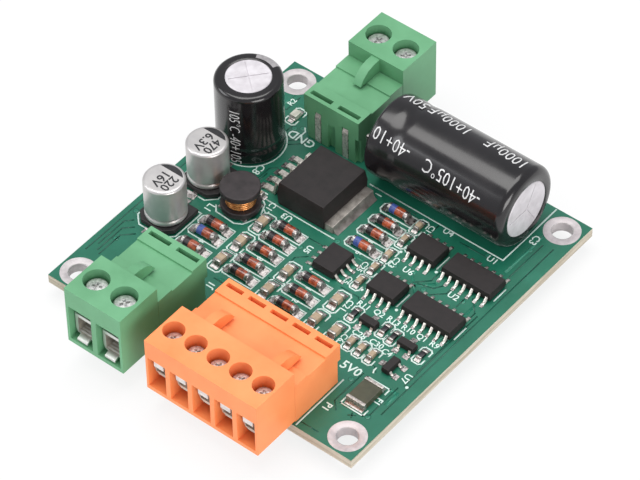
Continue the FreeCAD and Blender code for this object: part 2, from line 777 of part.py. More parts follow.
def small_circuits():
    bodies = new_body("ic_bodies")
    loops = []
    for x, y, half, quarter in CIRCUITS:
        long = "so_len_fourteen" if half == 7 else "so_len_eight"
        size = ("so_w", long) if quarter else (long, "so_w")
        loops.append(rect(x, y, size[0], size[1]))
    sketch = outline(bodies, "plan", "XY_Plane", loops, "so_mid")
    pad(bodies, "upper", sketch, "so_top - so_mid", middle=False, taper=-8.0)
    pad(bodies, "lower", sketch, "so_mid - so_low", middle=False, down=True, taper=-8.0)
    leads = new_body("ic_leads")
    for index, (x, y, half, quarter) in enumerate(CIRCUITS):
        loops = []
        for sign in ("1", "-1"):
            loop = gull("so_reach", "so_w / 2", "so_lead_t", "(so_mid - so_lead_t / 2)", sign)
            loops.append(shifted(loop, x if quarter else y))
        name = "leads_%d" % index
        if quarter:
            start = "-(%s) + %s * so_pitch / 2" % (y, half - 1)
            first = pad(leads, name, outline(leads, name + "_side", "XZ_Plane", loops, start), "so_lead_w")
            row(leads, name + "_row", [first], "Y_Axis", str(half), "so_pitch")
        else:
            start = "%s - %s * so_pitch / 2" % (x, half - 1)
            first = pad(leads, name, outline(leads, name + "_side", "YZ_Plane", loops, start), "so_lead_w")
            row(leads, name + "_row", [first], "X_Axis", str(half), "so_pitch")
    bodies = new_body("transistor_bodies")
    loops = []
    for x, y, quarter in TRANSISTORS:
        size = ("sot_w", "sot_len") if quarter else ("sot_len", "sot_w")
        loops.append(rect(x, y, size[0], size[1]))
    sketch = outline(bodies, "plan", "XY_Plane", loops, "0.5")
    pad(bodies, "upper", sketch, "sot_top - 0.5", middle=False, taper=-8.0)
    pad(bodies, "lower", sketch, "0.42", middle=False, down=True, taper=-8.0)
    leads = new_body("transistor_leads")
    for index, (x, y, quarter) in enumerate(TRANSISTORS):
        name = "lead_%d" % index
        lone, twin = ("-1", "1") if quarter else ("1", "-1")
        pair = ("-sot_pitch / 2", "sot_pitch / 2")
        for side, (sign, offsets) in enumerate(((lone, ("0",)), (twin, pair))):
            loop = gull("(sot_reach + 0.1)", "sot_w / 2", "0.15", "0.42", sign)
            for place, offset in enumerate(offsets):
                mark = "%s_%d_%d" % (name, side, place)
                if quarter:
                    start = "-(%s) + %s" % (y, offset)
                    sketch = outline(leads, mark + "_side", "XZ_Plane", [shifted(loop, x)], start)
                else:
                    start = "%s + %s" % (x, offset)
                    sketch = outline(leads, mark + "_side", "YZ_Plane", [shifted(loop, y)], start)
                pad(leads, mark, sketch, "sot_lead_w")


def diodes():
    glass = new_body("diode_glass")
    caps = new_body("diode_end_caps")
    columns = {}
    for x, y in DIODES:
        columns.setdefault(x, []).append(y)
    for index, (x, ys) in enumerate(columns.items()):
        loops = [many_sided(y, "melf_d / 2", "(melf_d / 2 - 0.04)", 10) for y in ys]
        sketch = outline(glass, "column_%d" % index, "YZ_Plane", loops, x)
        pad(glass, "tubes_%d" % index, sketch, "melf_len - 2 * melf_cap")
        for side, sign in enumerate(("-", "+")):
            loops = [many_sided(y, "melf_d / 2", "(melf_d / 2)", 10) for y in ys]
            offset = "%s %s (melf_len - melf_cap) / 2" % (x, sign)
            sketch = outline(caps, "column_%d_%d" % (index, side), "YZ_Plane", loops, offset)
            pad(caps, "caps_%d_%d" % (index, side), sketch, "melf_cap")


def chips():
    bodies = new_body("chip_capacitor_bodies")
    ends = new_body("chip_terminations")
    kinds = (("big", BIG_CHIPS, "big_t"), ("mid", MID_CHIPS, "mid_t"), ("res", RESISTORS, "res_t"))
    resist = new_body("chip_resistor_bodies")
    for kind, places, tall in kinds:
        size = "mid" if kind == "res" else kind
        target = resist if kind == "res" else bodies
        loops = [rect(x, y, size + "_w - 0.06", "%s_l - 2 * %s_end" % (size, size)) for x, y in places]
        if kind == "mid":
            x, y = LYING_CHIP
            loops.append(rect(x, y, "mid_l - 2 * mid_end", "mid_w - 0.06"))
        sketch = outline(target, kind + "_plan", "XY_Plane", loops, "0")
        pad(target, kind + "_blocks", sketch, tall + " - 0.04", middle=False)
        loops = []
        for x, y in places:
            for sign in ("-", "+"):
                centre = "%s %s (%s_l - %s_end) / 2" % (y, sign, size, size)
                loops.append(rect(x, centre, size + "_w", size + "_end"))
        if kind == "mid":
            for sign in ("-", "+"):
                loops.append(rect("%s %s (mid_l - mid_end) / 2" % (LYING_CHIP[0], sign), LYING_CHIP[1], "mid_end", "mid_w"))
        sketch = outline(ends, kind + "_plan", "XY_Plane", loops, "0")
        pad(ends, kind + "_ends", sketch, tall, middle=False)
    fuse = new_body("fuse_body", "fuse")
    box(fuse, "block", ("fuse_w - 0.1", "fuse_l - 2 * fuse_end", "fuse_t - 0.08"), ("0", "0"), "0")
    for side, sign in enumerate(("-", "+")):
        at = ("fuse_x", "fuse_y %s (fuse_l - fuse_end) / 2" % sign)
        box(ends, "fuse_end_%d" % side, ("fuse_w", "fuse_end", "fuse_t"), at, "0")
        at = ("led_x", "led_y %s 0.8" % sign)
        box(ends, "led_end_%d" % side, ("1.25", "0.4", "0.35"), at, "0")
    led = new_body("indicator_led", "led")
    box(led, "base", ("1.25", "1.2", "0.35"), ("0", "0"), "0")
    box(led, "lens", ("1.15", "1.4", "0.45"), ("0", "0"), "0.35")


def underside():
    bodies = new_body("mosfet_bodies")
    bind(bodies, "Placement.Base.z", "0")
    metal = new_body("mosfet_metal")
    bind(metal, "Placement.Base.z", "0")
    places = [("-fet_x", "-fet_y"), ("fet_x", "-fet_y"), ("-fet_x", "fet_y"), ("fet_x", "fet_y")]
    loops = [rect(x, y, "fet_w", "fet_l") for x, y in places]
    sketch = outline(bodies, "plan", "XY_Plane", loops, "-fet_metal_t")
    pad(bodies, "body", sketch, "fet_t - fet_metal_t", middle=False, down=True, taper=-6.0)
    for index, (x, y) in enumerate(places):
        away = "+" if index > 1 else "-"
        size = ("fet_tab_w", "fet_l + fet_tab_out", "fet_metal_t")
        box(metal, "tab_%d" % index, size, (x, "%s %s fet_tab_out / 2" % (y, away)), "-fet_metal_t")
        inward = "-1" if index > 1 else "1"
        near = "fet_l / 2"
        far = "(fet_l / 2 + fet_lead_out)"
        loop = [
            (near, "-fet_metal_t - 0.6"),
            (far + " - 1", "-fet_metal_t"),
            (far, "-fet_metal_t"),
            (far, "0"),
            (far + " - 1.4", "0"),
            (near, "-fet_metal_t - 0.1"),
        ]
        loop = [("%s + %s * (%s)" % (y, inward, a), b) for a, b in loop]
        for side, sign in enumerate(("-", "+")):
            offset = "%s %s fet_pitch" % (x, sign)
            sketch = outline(metal, "lead_side_%d_%d" % (index, side), "YZ_Plane", [loop], offset)
            pad(metal, "lead_%d_%d" % (index, side), sketch, "fet_lead_w")


circuit_board()
connector("motor", "green_", False)
connector("signal", "orange_", False)
connector("power", "green_", True)
capacitors()
smd_capacitors()
inductor()
regulator()
small_circuits()
diodes()
chips()
underside()
doc.recompute()

for obj in doc.Objects:
    if "Invalid" in obj.State or "Error" in obj.State:
        raise RuntimeError("%s is in state %s" % (obj.Name, obj.State))
for node in nodes:
    shape = node.Shape
    if shape.isNull() or not shape.isValid() or not shape.Solids:
        raise RuntimeError("%s has no valid solid" % node.Label)
    shape.exportStep("parts/%s.step" % node.Label)
    reach = shape.BoundBox
    print(
        "%-26s solids %3d faces %4d  x %.2f %.2f  y %.2f %.2f  z %.2f %.2f"
        % (
            node.Label,
            len(shape.Solids),
            len(shape.Faces),
            reach.XMin,
            reach.XMax,
            reach.YMin,
            reach.YMax,
            reach.ZMin,
            reach.ZMax,
        )
    )
print("parts written:", len(nodes))
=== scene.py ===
import math

import bpy
from mathutils import Matrix, Vector


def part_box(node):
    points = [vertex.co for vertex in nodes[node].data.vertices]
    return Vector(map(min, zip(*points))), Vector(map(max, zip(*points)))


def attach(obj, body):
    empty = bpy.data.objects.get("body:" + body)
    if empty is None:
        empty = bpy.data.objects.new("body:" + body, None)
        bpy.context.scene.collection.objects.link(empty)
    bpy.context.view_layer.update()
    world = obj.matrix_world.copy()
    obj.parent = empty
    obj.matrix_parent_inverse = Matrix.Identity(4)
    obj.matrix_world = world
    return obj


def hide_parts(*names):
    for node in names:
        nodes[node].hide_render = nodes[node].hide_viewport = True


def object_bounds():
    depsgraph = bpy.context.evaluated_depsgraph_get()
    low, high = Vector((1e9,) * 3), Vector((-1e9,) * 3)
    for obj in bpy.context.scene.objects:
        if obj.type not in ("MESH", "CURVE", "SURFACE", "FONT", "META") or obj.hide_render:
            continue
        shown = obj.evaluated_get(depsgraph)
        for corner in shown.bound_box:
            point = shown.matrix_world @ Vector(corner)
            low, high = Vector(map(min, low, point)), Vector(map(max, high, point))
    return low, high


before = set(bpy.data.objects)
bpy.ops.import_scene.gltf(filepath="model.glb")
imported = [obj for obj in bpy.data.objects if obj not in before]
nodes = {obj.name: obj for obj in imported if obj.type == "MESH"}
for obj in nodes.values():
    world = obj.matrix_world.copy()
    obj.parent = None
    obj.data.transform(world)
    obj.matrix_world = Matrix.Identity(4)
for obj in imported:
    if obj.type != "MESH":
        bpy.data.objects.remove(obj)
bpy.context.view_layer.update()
mm = 0.001
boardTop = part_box("circuit_board")[1].z / mm        # height of the board's upper face, in mm
print("frame loaded:", len(nodes), "nodes")


# small tools: select, place, round, copy

# distances in metres below which points are merged
weld = dict(turned=0.0000005, node=0.000002, strip=0.0000002, text=0.0000001, face=0.000001)


def deselectAll():
    if bpy.context.mode != "OBJECT":
        bpy.ops.object.mode_set(mode="OBJECT")
    bpy.ops.object.select_all(action="DESELECT")


def activate(piece):
    deselectAll()
    piece.select_set(True)
    bpy.context.view_layer.objects.active = piece


def editAll(piece):
    activate(piece)
    bpy.ops.object.mode_set(mode="EDIT")
    bpy.ops.mesh.select_all(action="SELECT")


def settle(piece):
    activate(piece)
    bpy.ops.object.transform_apply(location=True, rotation=True, scale=True)
    return piece


def addBlock(name, low, high):
    deselectAll()
    middle = [(a + b) / 2 * mm for a, b in zip(low, high)]
    bpy.ops.mesh.primitive_cube_add(size=1, location=middle)
    piece = bpy.context.object
    piece.name = name
    piece.scale = [(b - a) * mm for a, b in zip(low, high)]
    return settle(piece)


def addRod(name, radius, low, high, sides):
    deselectAll()
    bpy.ops.mesh.primitive_cylinder_add(vertices=sides, radius=radius * mm, depth=(high - low) * mm,
                                        location=(0, 0, (low + high) / 2 * mm))
    piece = bpy.context.object
    piece.name = name
    return settle(piece)


def smoothPiece(piece, angle=38):
    activate(piece)
    bpy.ops.object.shade_smooth_by_angle(angle=math.radians(angle))
    weighted = piece.modifiers.new("flat faces stay flat", "WEIGHTED_NORMAL")
    weighted.keep_sharp = True
    bpy.ops.object.modifier_apply(modifier=weighted.name)
    return piece


def boxOf(nodeName):
    # lowest and highest corner of a node, in mm
    return [[c / mm for c in corner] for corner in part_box(nodeName)]


def cleanFaces(piece, smallest=weld["face"]):
    # no empty faces and no edges of no length
    editAll(piece)
    bpy.ops.mesh.dissolve_degenerate(threshold=smallest)
    bpy.ops.object.mode_set(mode="OBJECT")
    return piece


def mergePoints(piece, distance):
    editAll(piece)
    bpy.ops.mesh.remove_doubles(threshold=distance)
    bpy.ops.object.mode_set(mode="OBJECT")
    return piece


def faceOutwards(piece):
    editAll(piece)
    bpy.ops.mesh.normals_make_consistent(inside=False)
    bpy.ops.object.mode_set(mode="OBJECT")
    return piece


def roundEdges(piece, width, segments=2, angle=30):
    activate(piece)
    bevel = piece.modifiers.new("soft edges", "BEVEL")
    bevel.width = width * mm
    bevel.segments = segments
    bevel.limit_method = "ANGLE"
    bevel.angle_limit = math.radians(angle)
    bpy.ops.object.modifier_apply(modifier=bevel.name)
    return smoothPiece(cleanFaces(piece))


def cutAway(piece, cutters):
    activate(piece)
    for cutter in cutters:
        cut = piece.modifiers.new("cut", "BOOLEAN")
        cut.operation = "DIFFERENCE"
        cut.object = cutter
        cut.solver = "EXACT"
        bpy.ops.object.modifier_apply(modifier=cut.name)
    for cutter in cutters:
        bpy.data.objects.remove(cutter)
    return cleanFaces(piece)


def copyOf(master, name, matrix):
    piece = master.copy()
    piece.data = master.data.copy()
    piece.name = name
    bpy.context.scene.collection.objects.link(piece)
    piece.data.transform(matrix)
    return piece


def joinAll(name, pieces):
    deselectAll()
    for piece in pieces:
        piece.select_set(True)
    bpy.context.view_layer.objects.active = pieces[0]
    if len(pieces) > 1:
        bpy.ops.object.join()
    joined = bpy.context.object
    joined.name = name
    return joined


def placed(x, y, z=0.0, turn=0.0):
    return Matrix.Translation((x * mm, y * mm, z * mm)) @ Matrix.Rotation(math.radians(turn), 4, "Z")


def scatter(master, name, spots):
    copies = [copyOf(master, name, placed(*spot)) for spot in spots]
    bpy.data.objects.remove(master)
    return joinAll(name, copies)


def turned(name, profile, steps, sweep=360):
    # profile: (radius, height) in mm, spun about the Z axis through the sweep in degrees
    deselectAll()
    bpy.ops.mesh.primitive_plane_add(size=mm)
    piece = bpy.context.object
    piece.name = name
    bpy.ops.object.mode_set(mode="EDIT")
    bpy.ops.mesh.select_all(action="SELECT")
    bpy.ops.mesh.merge(type="CENTER")
    bpy.ops.transform.translate(value=(profile[0][0] * mm, 0, profile[0][1] * mm))
    for (r0, h0), (r1, h1) in zip(profile, profile[1:]):
        step = ((r1 - r0) * mm, 0, (h1 - h0) * mm)
        bpy.ops.mesh.extrude_region_move(TRANSFORM_OT_translate={"value": step})
    bpy.ops.mesh.select_all(action="SELECT")
    bpy.ops.mesh.spin(steps=steps, angle=math.radians(sweep), center=(0, 0, 0), axis=(0, 0, 1))
    return faceOutwards(mergePoints(piece, weld["turned"]))


def arc(middle, radius, start, end, count):
    # points along a round stretch of a profile, angles in degrees
    angles = [math.radians(start + (end - start) * i / count) for i in range(count + 1)]
    return [(middle[0] + radius * math.cos(a), middle[1] + radius * math.sin(a)) for a in angles]


def softCopy(nodeName, pieceName, width, segments=2):
    # a copy of the node with its triangles merged to plain faces and its edges rounded
    source = nodes[nodeName]
    piece = source.copy()
    piece.data = source.data.copy()
    piece.name = pieceName
    piece.parent = None
    for key in [k for k in piece.keys() if k.startswith("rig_")]:
        del piece[key]
    bpy.context.scene.collection.objects.link(piece)
    activate(piece)
    bpy.ops.mesh.customdata_custom_splitnormals_clear()
    editAll(piece)
    bpy.ops.mesh.remove_doubles(threshold=weld["node"])
    bpy.ops.mesh.dissolve_limited(angle_limit=math.radians(0.8))
    bpy.ops.object.mode_set(mode="OBJECT")
    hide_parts(nodeName)
    return roundEdges(piece, width, segments)


def finishPiece(piece, body, slotName, material, *replaced):
    if material is not None:
        piece.data.materials.clear()
        piece.data.materials.append(material)
    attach(piece, body)
    if replaced:
        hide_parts(*replaced)
    return piece


def dressNode(nodeName, material):
    piece = nodes[nodeName]
    for slot in piece.material_slots:
        slot.material = material


def strips(name, paths, width, level, thick):
    # flat bars along the paths, in mm, each straight run with square ends
    step = 0.002        # every second run lies this much higher, so that no faces coincide
    deselectAll()
    bar = bpy.data.curves.new("bar", "CURVE")
    side = bar.splines.new("POLY")
    side.points.add(3)
    for point, (u, v) in zip(side.points, ((-1, -1), (1, -1), (1, 1), (-1, 1))):
        point.co = (u * width / 2 * mm, v * thick / 2 * mm, 0, 1)
    side.use_cyclic_u = True
    barPiece = bpy.data.objects.new("bar", bar)
    bpy.context.scene.collection.objects.link(barPiece)
    line = bpy.data.curves.new(name, "CURVE")
    line.dimensions = "3D"
    line.twist_mode = "Z_UP"
    line.bevel_mode = "OBJECT"
    line.bevel_object = barPiece
    line.use_fill_caps = True
    for path in paths:
        for n, (a, b) in enumerate(zip(path, path[1:])):
            reach = width / 2 / math.dist(a, b)
            ends = ((a[0] - (b[0] - a[0]) * reach, a[1] - (b[1] - a[1]) * reach),
                    (b[0] + (b[0] - a[0]) * reach, b[1] + (b[1] - a[1]) * reach))
            run = line.splines.new("POLY")
            run.points.add(1)
            height = level + thick / 2 + step * (n % 2)
            for point, (x, y) in zip(run.points, ends):
                point.co = (x * mm, y * mm, height * mm, 1)
    piece = bpy.data.objects.new(name, line)
    bpy.context.scene.collection.objects.link(piece)
    activate(piece)
    bpy.ops.object.convert(target="MESH")
    piece = bpy.context.object
    bpy.data.objects.remove(barPiece)
    return faceOutwards(mergePoints(piece, weld["strip"]))


def lettering(text, size, weight, thick):
    deselectAll()
    bpy.ops.object.text_add()
    words = bpy.context.object
    words.data.body = text
    words.data.size = size * mm
    words.data.align_x = "CENTER"
    words.data.align_y = "CENTER"
    words.data.resolution_u = 2
    words.data.extrude = thick / 2 * mm
    words.data.offset = weight * mm
    bpy.ops.object.convert(target="MESH")
    return cleanFaces(mergePoints(bpy.context.object, weld["text"]), weld["text"])


def ringPath(x, y, radius, count):
    angles = [math.radians(360 * i / count) for i in range(count + 1)]
    return [(x + radius * math.cos(a), y + radius * math.sin(a)) for a in angles]


# materials

def tint(code):
    # a colour as seen on a screen, turned into the shader's own scale
    parts = [int(code[i:i + 2], 16) / 255 for i in (0, 2, 4)]
    return [c / 12.92 if c <= 0.04045 else ((c + 0.055) / 1.055) ** 2.4 for c in parts] + [1.0]


def newGroup(name, inputs, outputs):
    group = bpy.data.node_groups.new(name, "ShaderNodeTree")
    for label, kind, value in inputs:
        socket = group.interface.new_socket(name=label, in_out="INPUT", socket_type=kind)
        if value is not None:
            socket.default_value = value
    for label, kind in outputs:
        group.interface.new_socket(name=label, in_out="OUTPUT", socket_type=kind)
    return group, group.nodes.new("NodeGroupInput"), group.nodes.new("NodeGroupOutput")


def buildSurfaceTone():
    # soft cloudy change between two colours, and a roughness that follows it
    group, start, end = newGroup(
        "surfaceTone",
        [("Vector", "NodeSocketVector", None), ("Scale", "NodeSocketFloat", 200.0),
         ("Dark", "NodeSocketColor", None), ("Light", "NodeSocketColor", None),
         ("Rough Low", "NodeSocketFloat", 0.4), ("Rough High", "NodeSocketFloat", 0.5)],
        [("Color", "NodeSocketColor"), ("Roughness", "NodeSocketFloat"), ("Mask", "NodeSocketFloat")])
    noise = group.nodes.new("ShaderNodeTexNoise")
    noise.inputs["Detail"].default_value = 5
    noise.inputs["Roughness"].default_value = 0.6
    spread = group.nodes.new("ShaderNodeMapRange")
    spread.inputs["From Min"].default_value = 0.32
    spread.inputs["From Max"].default_value = 0.68
    blend = group.nodes.new("ShaderNodeMix")
    blend.data_type = "RGBA"
    rough = group.nodes.new("ShaderNodeMapRange")
    link = group.links.new
    link(start.outputs["Vector"], noise.inputs["Vector"])
    link(start.outputs["Scale"], noise.inputs["Scale"])
    link(noise.outputs["Fac"], spread.inputs["Value"])
    link(spread.outputs["Result"], blend.inputs["Factor"])
    link(start.outputs["Dark"], blend.inputs[6])
    link(start.outputs["Light"], blend.inputs[7])
    link(spread.outputs["Result"], rough.inputs["Value"])
    link(start.outputs["Rough Low"], rough.inputs["To Min"])
    link(start.outputs["Rough High"], rough.inputs["To Max"])
    link(blend.outputs[2], end.inputs["Color"])
    link(rough.outputs["Result"], end.inputs["Roughness"])
    link(spread.outputs["Result"], end.inputs["Mask"])
    return group


def buildFineGrain():
    # tiny bumps of a moulded or cast surface with longer waves under them
    group, start, end = newGroup(
        "fineGrain",
        [("Vector", "NodeSocketVector", None), ("Scale", "NodeSocketFloat", 3000.0),
         ("Wave", "NodeSocketFloat", 300.0)],
        [("Height", "NodeSocketFloat")])
    small = group.nodes.new("ShaderNodeTexNoise")
    small.inputs["Detail"].default_value = 3
    large = group.nodes.new("ShaderNodeTexNoise")
    large.inputs["Detail"].default_value = 2
    both = group.nodes.new("ShaderNodeMath")
    both.operation = "MULTIPLY_ADD"
    both.inputs[1].default_value = 0.4
    link = group.links.new
    link(start.outputs["Vector"], small.inputs["Vector"])
    link(start.outputs["Scale"], small.inputs["Scale"])
    link(start.outputs["Vector"], large.inputs["Vector"])
    link(start.outputs["Wave"], large.inputs["Scale"])
    link(small.outputs["Fac"], both.inputs[0])
    link(large.outputs["Fac"], both.inputs[2])
    link(both.outputs["Value"], end.inputs["Height"])
    return group


surfaceTone = buildSurfaceTone()
fineGrain = buildFineGrain()


def finishOf(name, values):
    material = bpy.data.materials.new(name)
    material.use_nodes = True
    tree = material.node_tree
    shader = tree.nodes["Principled BSDF"]
    place = tree.nodes.new("ShaderNodeTexCoord")
    tone = tree.nodes.new("ShaderNodeGroup")
    tone.node_tree = surfaceTone
    tone.inputs["Scale"].default_value = values.get("cloud", 250)
    tone.inputs["Dark"].default_value = tint(values["dark"])
    tone.inputs["Light"].default_value = tint(values["light"])
    tone.inputs["Rough Low"].default_value = values["rough"][0]
    tone.inputs["Rough High"].default_value = values["rough"][1]
    grain = tree.nodes.new("ShaderNodeGroup")
    grain.node_tree = fineGrain
    grain.inputs["Scale"].default_value = values.get("grain", 3000)
    grain.inputs["Wave"].default_value = values.get("wave", 300)
    bump = tree.nodes.new("ShaderNodeBump")
    bump.inputs["Strength"].default_value = values.get("bump", 0.15)
    bump.inputs["Distance"].default_value = values.get("depth", 0.00003)
    shader.inputs["Metallic"].default_value = values.get("metal", 0.0)
    shader.inputs["Coat Weight"].default_value = values.get("coat", 0.0)
    shader.inputs["Coat Roughness"].default_value = values.get("coatRough", 0.1)
    shader.inputs["Specular IOR Level"].default_value = values.get("specular", 0.5)
    link = tree.links.new
    link(place.outputs["Object"], tone.inputs["Vector"])
    link(place.outputs["Object"], grain.inputs["Vector"])
    link(tone.outputs["Color"], shader.inputs["Base Color"])
    link(tone.outputs["Roughness"], shader.inputs["Roughness"])
    link(grain.outputs["Height"], bump.inputs["Height"])
    link(bump.outputs["Normal"], shader.inputs["Normal"])
    return material


finishes = {
    "greenPlastic": dict(dark="5f9b70", light="6dab7f", rough=(0.42, 0.55), cloud=120, bump=0.2,
                         specular=0.45),
    "orangePlastic": dict(dark="f88c50", light="ff9c60", rough=(0.4, 0.52), cloud=120, bump=0.2,
                          specular=0.45),
    "tabTop": dict(dark="8a847e", light="b0aaa3", rough=(0.32, 0.5), metal=0.5, cloud=1100, bump=0.5),
    "tabTin": dict(dark="857e7a", light="b5aea9", rough=(0.34, 0.5), metal=0.8, cloud=700, bump=0.5),
    "brightTin": dict(dark="b9b6b2", light="dedbd6", rough=(0.2, 0.36), metal=1.0, cloud=900, bump=0.3),
    "solderMetal": dict(dark="6b6664", light="d2ccc9", rough=(0.2, 0.45), metal=0.9, cloud=2600, bump=0.6),
    "platedRing": dict(dark="bbb3b5", light="d6cfd0", rough=(0.4, 0.55), metal=0.3, cloud=900, bump=0.6,
                       grain=5000, depth=0.00004),
    "steelScrew": dict(dark="b4b4b3", light="e2e1df", rough=(0.26, 0.46), metal=0.75, cloud=2400, bump=0.6),
    "cageMetal": dict(dark="b9b2a8", light="ded7ca", rough=(0.3, 0.45), metal=0.6, cloud=900, bump=0.3),
    "castAluminium": dict(dark="c9c6c5", light="d3d0ce", rough=(0.34, 0.4), metal=0.7, cloud=500, bump=0.15),
    "canTop": dict(dark="cac5c9", light="dfdbdf", rough=(0.42, 0.58), metal=0.35, cloud=700, bump=0.25),
    "blackFilm": dict(dark="121012", light="1a1719", rough=(0.17, 0.24), cloud=140, bump=0.15, coat=0.3,
                      coatRough=0.1, wave=160, depth=0.00003),
    "darkRubber": dict(dark="1b1918", light="2a2726", rough=(0.6, 0.75), cloud=400, bump=0.4),
    "blackBase": dict(dark="1d1a1b", light="2b2728", rough=(0.45, 0.6), cloud=400, bump=0.3),
    "ferrite": dict(dark="241f20", light="352e30", rough=(0.42, 0.6), cloud=800, bump=0.5),
    "copperWire": dict(dark="b8703a", light="f2b070", rough=(0.2, 0.34), metal=0.85, cloud=1400, bump=0.3),
    "chipEpoxy": dict(dark="1e1a1a", light="2a2525", rough=(0.46, 0.62), cloud=900, bump=0.4, grain=6000,
                      specular=0.35),
    "orangeGlass": dict(dark="5a1f15", light="c2603a", rough=(0.1, 0.2), cloud=1500, bump=0.15, coat=0.7,
                        coatRough=0.05),
    "bandInk": dict(dark="141113", light="2c2326", rough=(0.22, 0.36), cloud=1500, bump=0.2),
    "blueInk": dict(dark="2e3f7c", light="4c62a8", rough=(0.25, 0.4), cloud=1500, bump=0.2),
    "chipCeramic": dict(dark="a08c74", light="baa68c", rough=(0.4, 0.6), cloud=1200, bump=0.4, grain=6000),
    "chipPlating": dict(dark="8f8884", light="d6d0cb", rough=(0.28, 0.45), metal=0.8, cloud=2600, bump=0.5),
    "resistorTop": dict(dark="171518", light="25222a", rough=(0.3, 0.45), cloud=900, bump=0.3),
    "fuseFilm": dict(dark="3c3d2c", light="4b4c38", rough=(0.35, 0.5), cloud=700, bump=0.4),
    "ledLens": dict(dark="b9b6a6", light="dddbd0", rough=(0.15, 0.3), cloud=900, bump=0.1, coat=0.6),
    "leadTin": dict(dark="b3ada6", light="ece7de", rough=(0.24, 0.42), metal=0.55, cloud=2600, bump=0.4),
    "warmJaw": dict(dark="8a6656", light="b99583", rough=(0.35, 0.5), metal=0.3, cloud=1200, bump=0.4),
    "paleTab": dict(dark="d2cfcc", light="eeebe8", rough=(0.4, 0.55), metal=0.1, cloud=1100, bump=0.3),
    "filmStripe": dict(dark="8d8a8c", light="a5a2a3", rough=(0.22, 0.36), cloud=1200, bump=0.3, coat=0.3),
    "silkInk": dict(dark="cfe6dd", light="e2f2ec", rough=(0.5, 0.65), cloud=1600, bump=0.4),
    "whitePrint": dict(dark="c9c9c9", light="ececec", rough=(0.4, 0.55), cloud=1800, bump=0.2),
    "blackPrint": dict(dark="1a1a1c", light="2a2a2e", rough=(0.4, 0.55), cloud=1800, bump=0.2),
    "pourMask": dict(dark="287a62", light="33876e", rough=(0.24, 0.36), cloud=260, bump=0.15, specular=0.5),
    "darkGap": dict(dark="165040", light="1c5d4b", rough=(0.24, 0.36), cloud=260, bump=0.15, specular=0.5),
    # painted shade: colour of the flat discs that stand in for the via holes
    "paintedViaHoleShade": dict(dark="1f5a49", light="276754", rough=(0.5, 0.6), cloud=900),
}
look = {name: finishOf(name, values) for name, values in finishes.items()}


def boardMaterial():
    # solder mask on the two faces, bare glass laminate on the cut edges and in the holes
    material = finishOf("boardMask", dict(dark="1c6750", light="26745d", rough=(0.25, 0.38), cloud=180,
                                          bump=0.12, grain=2500))
    tree = material.node_tree
    shader = tree.nodes["Principled BSDF"]
    tone = shader.inputs["Base Color"].links[0].from_node
    surface = tree.nodes.new("ShaderNodeNewGeometry")
    split = tree.nodes.new("ShaderNodeSeparateXYZ")
    up = tree.nodes.new("ShaderNodeMath")
    up.operation = "ABSOLUTE"
    flat = tree.nodes.new("ShaderNodeMath")
    flat.operation = "GREATER_THAN"
    flat.inputs[1].default_value = 0.7
    place = tree.nodes["Texture Coordinate"]
    layers = tree.nodes.new("ShaderNodeMapping")
    layers.inputs["Scale"].default_value = (90, 90, 2600)
    fibres = tree.nodes.new("ShaderNodeTexNoise")
    fibres.inputs["Scale"].default_value = 1
    fibres.inputs["Detail"].default_value = 4
    edgeRamp = tree.nodes.new("ShaderNodeValToRGB")
    edgeRamp.color_ramp.elements[0].color = tint("a89d88")
    edgeRamp.color_ramp.elements[0].position = 0.35
    edgeRamp.color_ramp.elements[1].color = tint("d2c9b8")
    edgeRamp.color_ramp.elements[1].position = 0.65
    choose = tree.nodes.new("ShaderNodeMix")
    choose.data_type = "RGBA"
    rough = tree.nodes.new("ShaderNodeMapRange")
    rough.inputs["To Min"].default_value = 0.75
    rough.inputs["To Max"].default_value = 0.3
    link = tree.links.new
    link(surface.outputs["True Normal"], split.inputs[0])
    link(split.outputs["Z"], up.inputs[0])
    link(up.outputs[0], flat.inputs[0])
    link(place.outputs["Object"], layers.inputs["Vector"])
    link(layers.outputs["Vector"], fibres.inputs["Vector"])
    link(fibres.outputs["Fac"], edgeRamp.inputs["Fac"])
    link(flat.outputs[0], choose.inputs["Factor"])
    link(edgeRamp.outputs["Color"], choose.inputs[6])
    link(tone.outputs["Color"], choose.inputs[7])
    link(choose.outputs[2], shader.inputs["Base Color"])
    link(flat.outputs[0], rough.inputs["Value"])
    link(rough.outputs["Result"], shader.inputs["Roughness"])
    return material


look["boardMask"] = boardMaterial()
print("materials ready:", len(look))


# printed board

for nodeName, finish in {
    "circuit_board": "boardMask",
    "motor_header_pins": "leadTin", "signal_header_pins": "leadTin", "power_header_pins": "leadTin",
    "motor_plug_contacts": "cageMetal", "signal_plug_contacts": "cageMetal",
    "power_plug_contacts": "cageMetal",
}.items():
    dressNode(nodeName, look[finish])

holes = {
    "reach": 24.4,          # from the board's middle to each hole, along X and along Y
    "radius": 1.6,
    "landRadius": 2.78,
    "landRise": 0.035,
    "landEdge": 0.02,
    "wall": 0.04,
}


def buildHoleRings():
    # plated land on both faces, joined by the tube through the hole
    r, wide, rise = holes["radius"], holes["landRadius"], holes["landRise"]
    flat, inner = wide - holes["landEdge"], r - holes["wall"]
    profile = [(r, -rise), (flat, -rise), (wide, 0.0), (wide, boardTop), (flat, boardTop + rise),
               (r + 0.06, boardTop + rise), (inner, boardTop - 0.04), (inner, 0.04), (r, -rise)]
    ring = turned("holeRing", profile, 56)
    h = holes["reach"]
    rings = scatter(ring, "holeRings", [(-h, -h), (h, -h), (h, h), (-h, h)])
    smoothPiece(rings)
    return finishPiece(rings, "board", "tin", look["platedRing"])


buildHoleRings()


# pluggable terminal blocks

